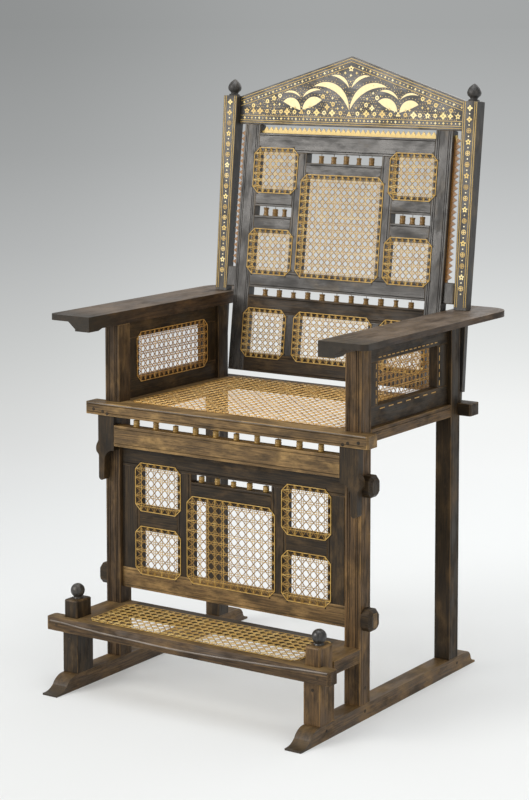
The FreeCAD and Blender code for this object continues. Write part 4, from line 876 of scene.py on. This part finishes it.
# The lower row's motifs from the head's left end to its middle, then those of the field above.
ROW = [(-257, "flower"), (-239.8, "diamond"), (-223.2, "rosette"), (-205.2, "ring"), (-187.2, "flower"),
       (-169.4, "ring"), (-154.2, "rosette"), (-135.2, "ring"), (-117.8, "palm"), (-100, "ring"),
       (-80, "rosette"), (-61.4, "ring"), (-41.6, "rosette"), (-20.7, "ring")]
ROW_HEIGHT = 28.8
FIELD = {
    "ring": [(-240.7, 40.3), (-205.2, 50.3), (-173.9, 62.7), (-40.3, 47.4), (-65.9, 62.7)],
    "flower": [(-188.9, 57.1)],
    "diamond": [(-54.7, 40.8)],
    "star": [(-222.8, 44.1), (-204.6, 39.6), (-187.3, 43.2), (-174.1, 44.5), (-42.2, 60), (-28.6, 38.3),
             (-16.5, 40.7), (-96.9, 39.9), (-144.6, 38.8), (-134.5, 38), (-56, 72), (-14, 113)],
    "dot": [(-89.3, 39), (-109.1, 34.4), (-47, 51), (-33, 52), (-74, 66), (-30, 112.5)],
}
motifs = [(way * x, ROW_HEIGHT, kind) for x, kind in ROW for way in (1, -1)]
motifs += [(way * x, height, kind) for kind, spots in FIELD.items() for x, height in spots
           for way in (1, -1)]
motifs += [(0, ROW_HEIGHT - 2, "palm"), (0, 122, "flower"), (0, 108, "star"), (0, 95, "dot")]

# Rows of stars with dots between, level over the lower edge and along both slopes.
STAR_STEP, STAR_HEIGHT, SLOPE_STEP, SLOPE_DROP = 18.7, 14, 18.2, 16
for number in range(-28, 29):
    motifs.append((number * STAR_STEP / 2, STAR_HEIGHT, "dot" if number % 2 else "star"))
for number in range(1, 29):
    across = 10 + number * SLOPE_STEP / 2
    motifs += [(way * across, slope(across) - SLOPE_DROP, "dot" if number % 2 else "star")
               for way in (-1, 1) if across < HEAD_HALF - 8]

# Fine dots that follow the outer edge of each blade, and a scatter of them over the bare field.
for name, (first, outer, last, inner) in BLADES.items():
    for x, z in arc(first, outer, last, 18 if name == "frond" else 10):
        lift = 4.2 / math.hypot(x - inner[0], z - inner[1])
        point = (x + (x - inner[0]) * lift, z + (z - inner[1]) * lift)
        motifs += [(way * point[0], point[1], "grain") for way in (1, -1)]

# The scattered dots keep clear of the motifs, of the blades' edges and of the blades' middles.
GRAIN_ACROSS, GRAIN_UP, GRAIN_CLEAR, GRAIN_DROP = 5.3, 5.1, 5.2, 25
taken = [(x, z) for x, z, kind in motifs]
for first, outer, last, inner in BLADES.values():
    rim = arc(first, outer, last, 10) + arc(last, inner, first, 10)
    rim += [((a[0] + b[0]) / 2, (a[1] + b[1]) / 2) for a, b in zip(rim, rim[::-1])]
    taken += [(way * x, z) for x, z in rim for way in (1, -1)]
for row in range(17):
    for column in range(-48, 49):
        across = (column + row % 2 / 2) * GRAIN_ACROSS + 0.9 * math.sin(5 * row + 3 * column)
        height = 22 + row * GRAIN_UP + 0.8 * math.cos(4 * row + 7 * column)
        clear = all(math.hypot(across - x, height - z) > GRAIN_CLEAR for x, z in taken)
        if height < slope(across) - GRAIN_DROP and clear:
            motifs.append((across, height, "grain"))

places = {}
for x, height, kind in motifs:
    places.setdefault(kind, []).append((x, HEAD_DEPTH, HEAD_LOW + height))

# The posts' motifs hang in one column below the finials: two diamonds, then crossed rings with dots.
POST_STEP = 22.6
for way in (-1, 1):
    for number in range(17):
        height = POST_TOP - 14.2 - number * POST_STEP
        kind = "diamond" if number < 2 else "wheel" if number % 3 else "flower"
        places.setdefault(kind, []).append((way * POST_AXIS, 0, height))
        places.setdefault("bead", []).append((way * POST_AXIS, 0, height - POST_STEP / 2))

# Each motif's outline, the hole in it and the finish, and the small hearts that some have.
MOTIFS = {
    "star": (lobed(3.3, 16, 4, 0.66), (), INLAY_BONE),
    "dot": (lobed(1.4, 8), (), INLAY_BONE),
    "bead": (lobed(1.6, 8), (), BLADE_BONE),
    "grain": (lobed(0.95, 6), (), LINE_BONE),
    "ring": (lobed(4.9, 32, 8, 0.2), lobed(2.0, 32), INLAY_BONE),
    "diamond": (lobed(6.2, 24, 4, 0.45), lobed(1.5, 24, 4, 0.3), INLAY_BONE),
    "flower": (lobed(6.3, 40, 5, 0.42), lobed(1.8, 40), INLAY_BONE),
    "rosette": (lobed(7.5, 40, 4, 0.42), lobed(2.2, 40, 4, 0.4), INLAY_BONE),
    "palm": (lobed(5.6, 36, 3, 0.5), lobed(1.2, 36), INLAY_BONE),
    "wheel": (lobed(5.4, 28), lobed(4.1, 28), LINE_BONE),
}
HEARTS = {"ring": lobed(0.7, 6), "rosette": lobed(1.1, 8), "wheel": lobed(5.4, 32, 4, 0.82)}
for kind, spots in places.items():
    outline, hole, finish = MOTIFS[kind]
    set_out(f"inlay_{kind}s", prism(outline, CHIP, hole), spots, finish, "back", POSTS)
    if kind in HEARTS:
        set_out(f"inlay_{kind}_hearts", prism(HEARTS[kind], CHIP), spots, LINE_BONE, "back", POSTS)


def ruled(name, lines, depth, width):
    """Fine strips let in along lines of points (x, z) in mm, on a face of the posts' frame."""
    lines = [([(x, depth - CHIP / 2, z) for x, z in line], 0.5, 1) for line in lines]
    strips_along(name, lines, width, CHIP, -Y, LINE_BONE, "back", matrix=POSTS)


# Three level lines over the head's lower edge, and three along both slopes below the upper one.
RULE_END = HEAD_HALF - 1
rules = [[(x, HEAD_LOW + height) for x in (-RULE_END, RULE_END)] for height in (4.5, 9, 19)]
rules += [[(x, HEAD_LOW + slope(x) - drop) for x in (-RULE_END, 0, RULE_END)] for drop in (5, 11, 21.5)]
ruled("head_lines", rules, HEAD_DEPTH, 1.3)

# Two lines along each edge of a post, which widens from half this width by this much to its top.
POST_HALF, POST_WIDENING, POST_FOOT = 14.5, 3, 6
edges = [[(way * POST_AXIS + side * (POST_HALF + POST_WIDENING * height / POST_TOP - inset), height)
          for height in (POST_FOOT, POST_TOP - 1)]
         for way in (-1, 1) for side in (-1, 1) for inset in (2.6, 6.8)]
ruled("post_lines", edges, 0, 1.4)

# Room
# White paper on the floor that glows in part, with its fall into grey with the distance painted on
# as shade, and large soft lamps: the strongest from the left and in front, where a panel that leans back
# mirrors it.

# Distances from the chair in metres: where the floor turns from lit paper to a glowing backdrop
# with painted shade, and at which the backdrop's painted grey is half way to the far one.
NEAR, FAR = 1.3, 3.2
HALFWAY = 4.0
# The least share of the floor's light that is its own painted glow, which softens its shadows.
SELF_LIT = 0.25
BRIGHT_SIDE = (0.831, 0.557, 0)


def backdrop(tree, place):
    """How far away a place is from the chair, and how much it bears to the bright side."""
    flat = add(tree, "ShaderNodeVectorMath", (place, (1, 1, 0)), operation="MULTIPLY")
    reach = add(tree, "ShaderNodeVectorMath", [flat], "Value", operation="LENGTH")
    heading = add(tree, "ShaderNodeVectorMath", [flat], operation="NORMALIZE")
    sideways = add(tree, "ShaderNodeVectorMath", (heading, BRIGHT_SIDE), "Value", operation="DOT_PRODUCT")
    return reach, sideways


def painted_side_shade(tree, sideways):
    """Painted shade on the paper: its brightness from the dull side to the bright one."""
    return add(tree, "ShaderNodeMapRange", (sideways, -0.14, 0.04, 0.82, 1.1), **SMOOTH)


room = bpy.data.worlds.new("pale_room")
room.use_nodes = True
bpy.context.scene.world = room
tree = room.node_tree
tree.nodes.clear()
seen = add(tree, "ShaderNodeLightPath", output="Is Camera Ray")
aim = add(tree, "ShaderNodeTexCoord", output="Generated")
rise = add(tree, "ShaderNodeSeparateXYZ", [aim], "Z")
rise = add(tree, "ShaderNodeMapRange", (rise, 0.0, 0.5), **SMOOTH)
# The backdrop's grey, darker upward, is painted falloff of light.
backdrop_falloff = add(tree, "ShaderNodeValToRGB", [rise], stops=[(0.0, "#9d9f9f"), (1.0, "#8a8d8d")])
side_shade = painted_side_shade(tree, backdrop(tree, aim)[1])
soft = add(tree, "ShaderNodeBackground", {"Color": "#f6f6f5", "Strength": 0.5})
drop = add(tree, "ShaderNodeBackground", {"Color": backdrop_falloff, "Strength": side_shade})
sky = add(tree, "ShaderNodeMixShader", (seen, soft, drop))
add(tree, "ShaderNodeOutputWorld", {"Surface": sky}, None)

paper, tree, matt, place = bare("white_paper_floor")
fill(tree, matt, {"Base Color": "#e2e5e6", "Roughness": 0.9, "Specular IOR Level": 0.2})
reach, sideways = backdrop(tree, place)
beyond = add(tree, "ShaderNodeMath", (reach, HALFWAY), operation="ADD")
share = add(tree, "ShaderNodeMath", (reach, beyond), operation="DIVIDE")
# The paper's tones are painted falloff of light: white near the chair, into grey far off.
tones = add(tree, "ShaderNodeValToRGB", [share],
            stops=[(0.2, "#fbfcfb"), (0.34, "#f6f7f6"), (0.52, "#dbdddc"), (0.67, "#c3c5c5"),
                   (0.81, "#afb1b1"), (0.96, "#a0a2a2"), (1.0, "#9d9f9f")])
side_shade = painted_side_shade(tree, add(tree, "ShaderNodeMath", (sideways, share), operation="MULTIPLY"))
glow = add(tree, "ShaderNodeEmission", {"Color": tones, "Strength": side_shade})
own = add(tree, "ShaderNodeMapRange", (reach, NEAR, FAR, SELF_LIT, 1.0), **SMOOTH)
both = add(tree, "ShaderNodeMixShader", (own, matt.outputs["BSDF"], glow))
fill(tree, tree.nodes["Material Output"], {"Surface": both})

# The floor reaches 400 m to every side, past where it can be told from the backdrop.
rim = [(x, y, 0) for y, x in lobed(400, 48)]
floor_data = bpy.data.meshes.new("floor")
floor_data.from_pydata(rim, [], [range(len(rim))])
floor_data.materials.append(paper)
put("floor", floor_data)


def lamp(name, place, aim, size, power, colour):
    """A square soft lamp aimed at a point."""
    light = bpy.data.lights.new(name, "AREA")
    light.shape = "SQUARE"
    light.size = size
    light.energy = power
    light.color = linear(colour)[:3]
    holder = put(name, light)
    holder.location = place
    holder.rotation_euler = (Vector(aim) - Vector(place)).to_track_quat("-Z", "Y").to_euler()


lamp("window_left", (-2.3, -3.4, 2.3), (0, 0, 0.7), 2.4, 124, "#fffaf4")
lamp("fill_right", (3.4, -1.6, 1.8), (0, 0, 0.6), 2.0, 24, "#fff2e2")
lamp("behind", (0.2, 2.0, 1.8), (0.1, 0.7, 0), 2.0, 18, "#ffffff")
lamp("top", (0.0, -0.2, 3.6), (0, 0, 0.6), 2.6, 54, "#fcfdff")

# The camera stands in front and to the right, a little higher than the crest, and looks down.
eye = bpy.data.cameras.new("camera")
eye.sensor_fit = "VERTICAL"
eye.sensor_height = 36
eye.lens = 94.5
eye.shift_y = -0.236
eye.clip_end = 1000
camera = put("camera", eye)
camera.location = (2.287, -3.424, 1.309)
camera.rotation_euler = (math.radians(90 - 5.15), 0, math.radians(33.82))
bpy.context.scene.camera = camera
bpy.context.scene.view_settings.view_transform = "Standard"
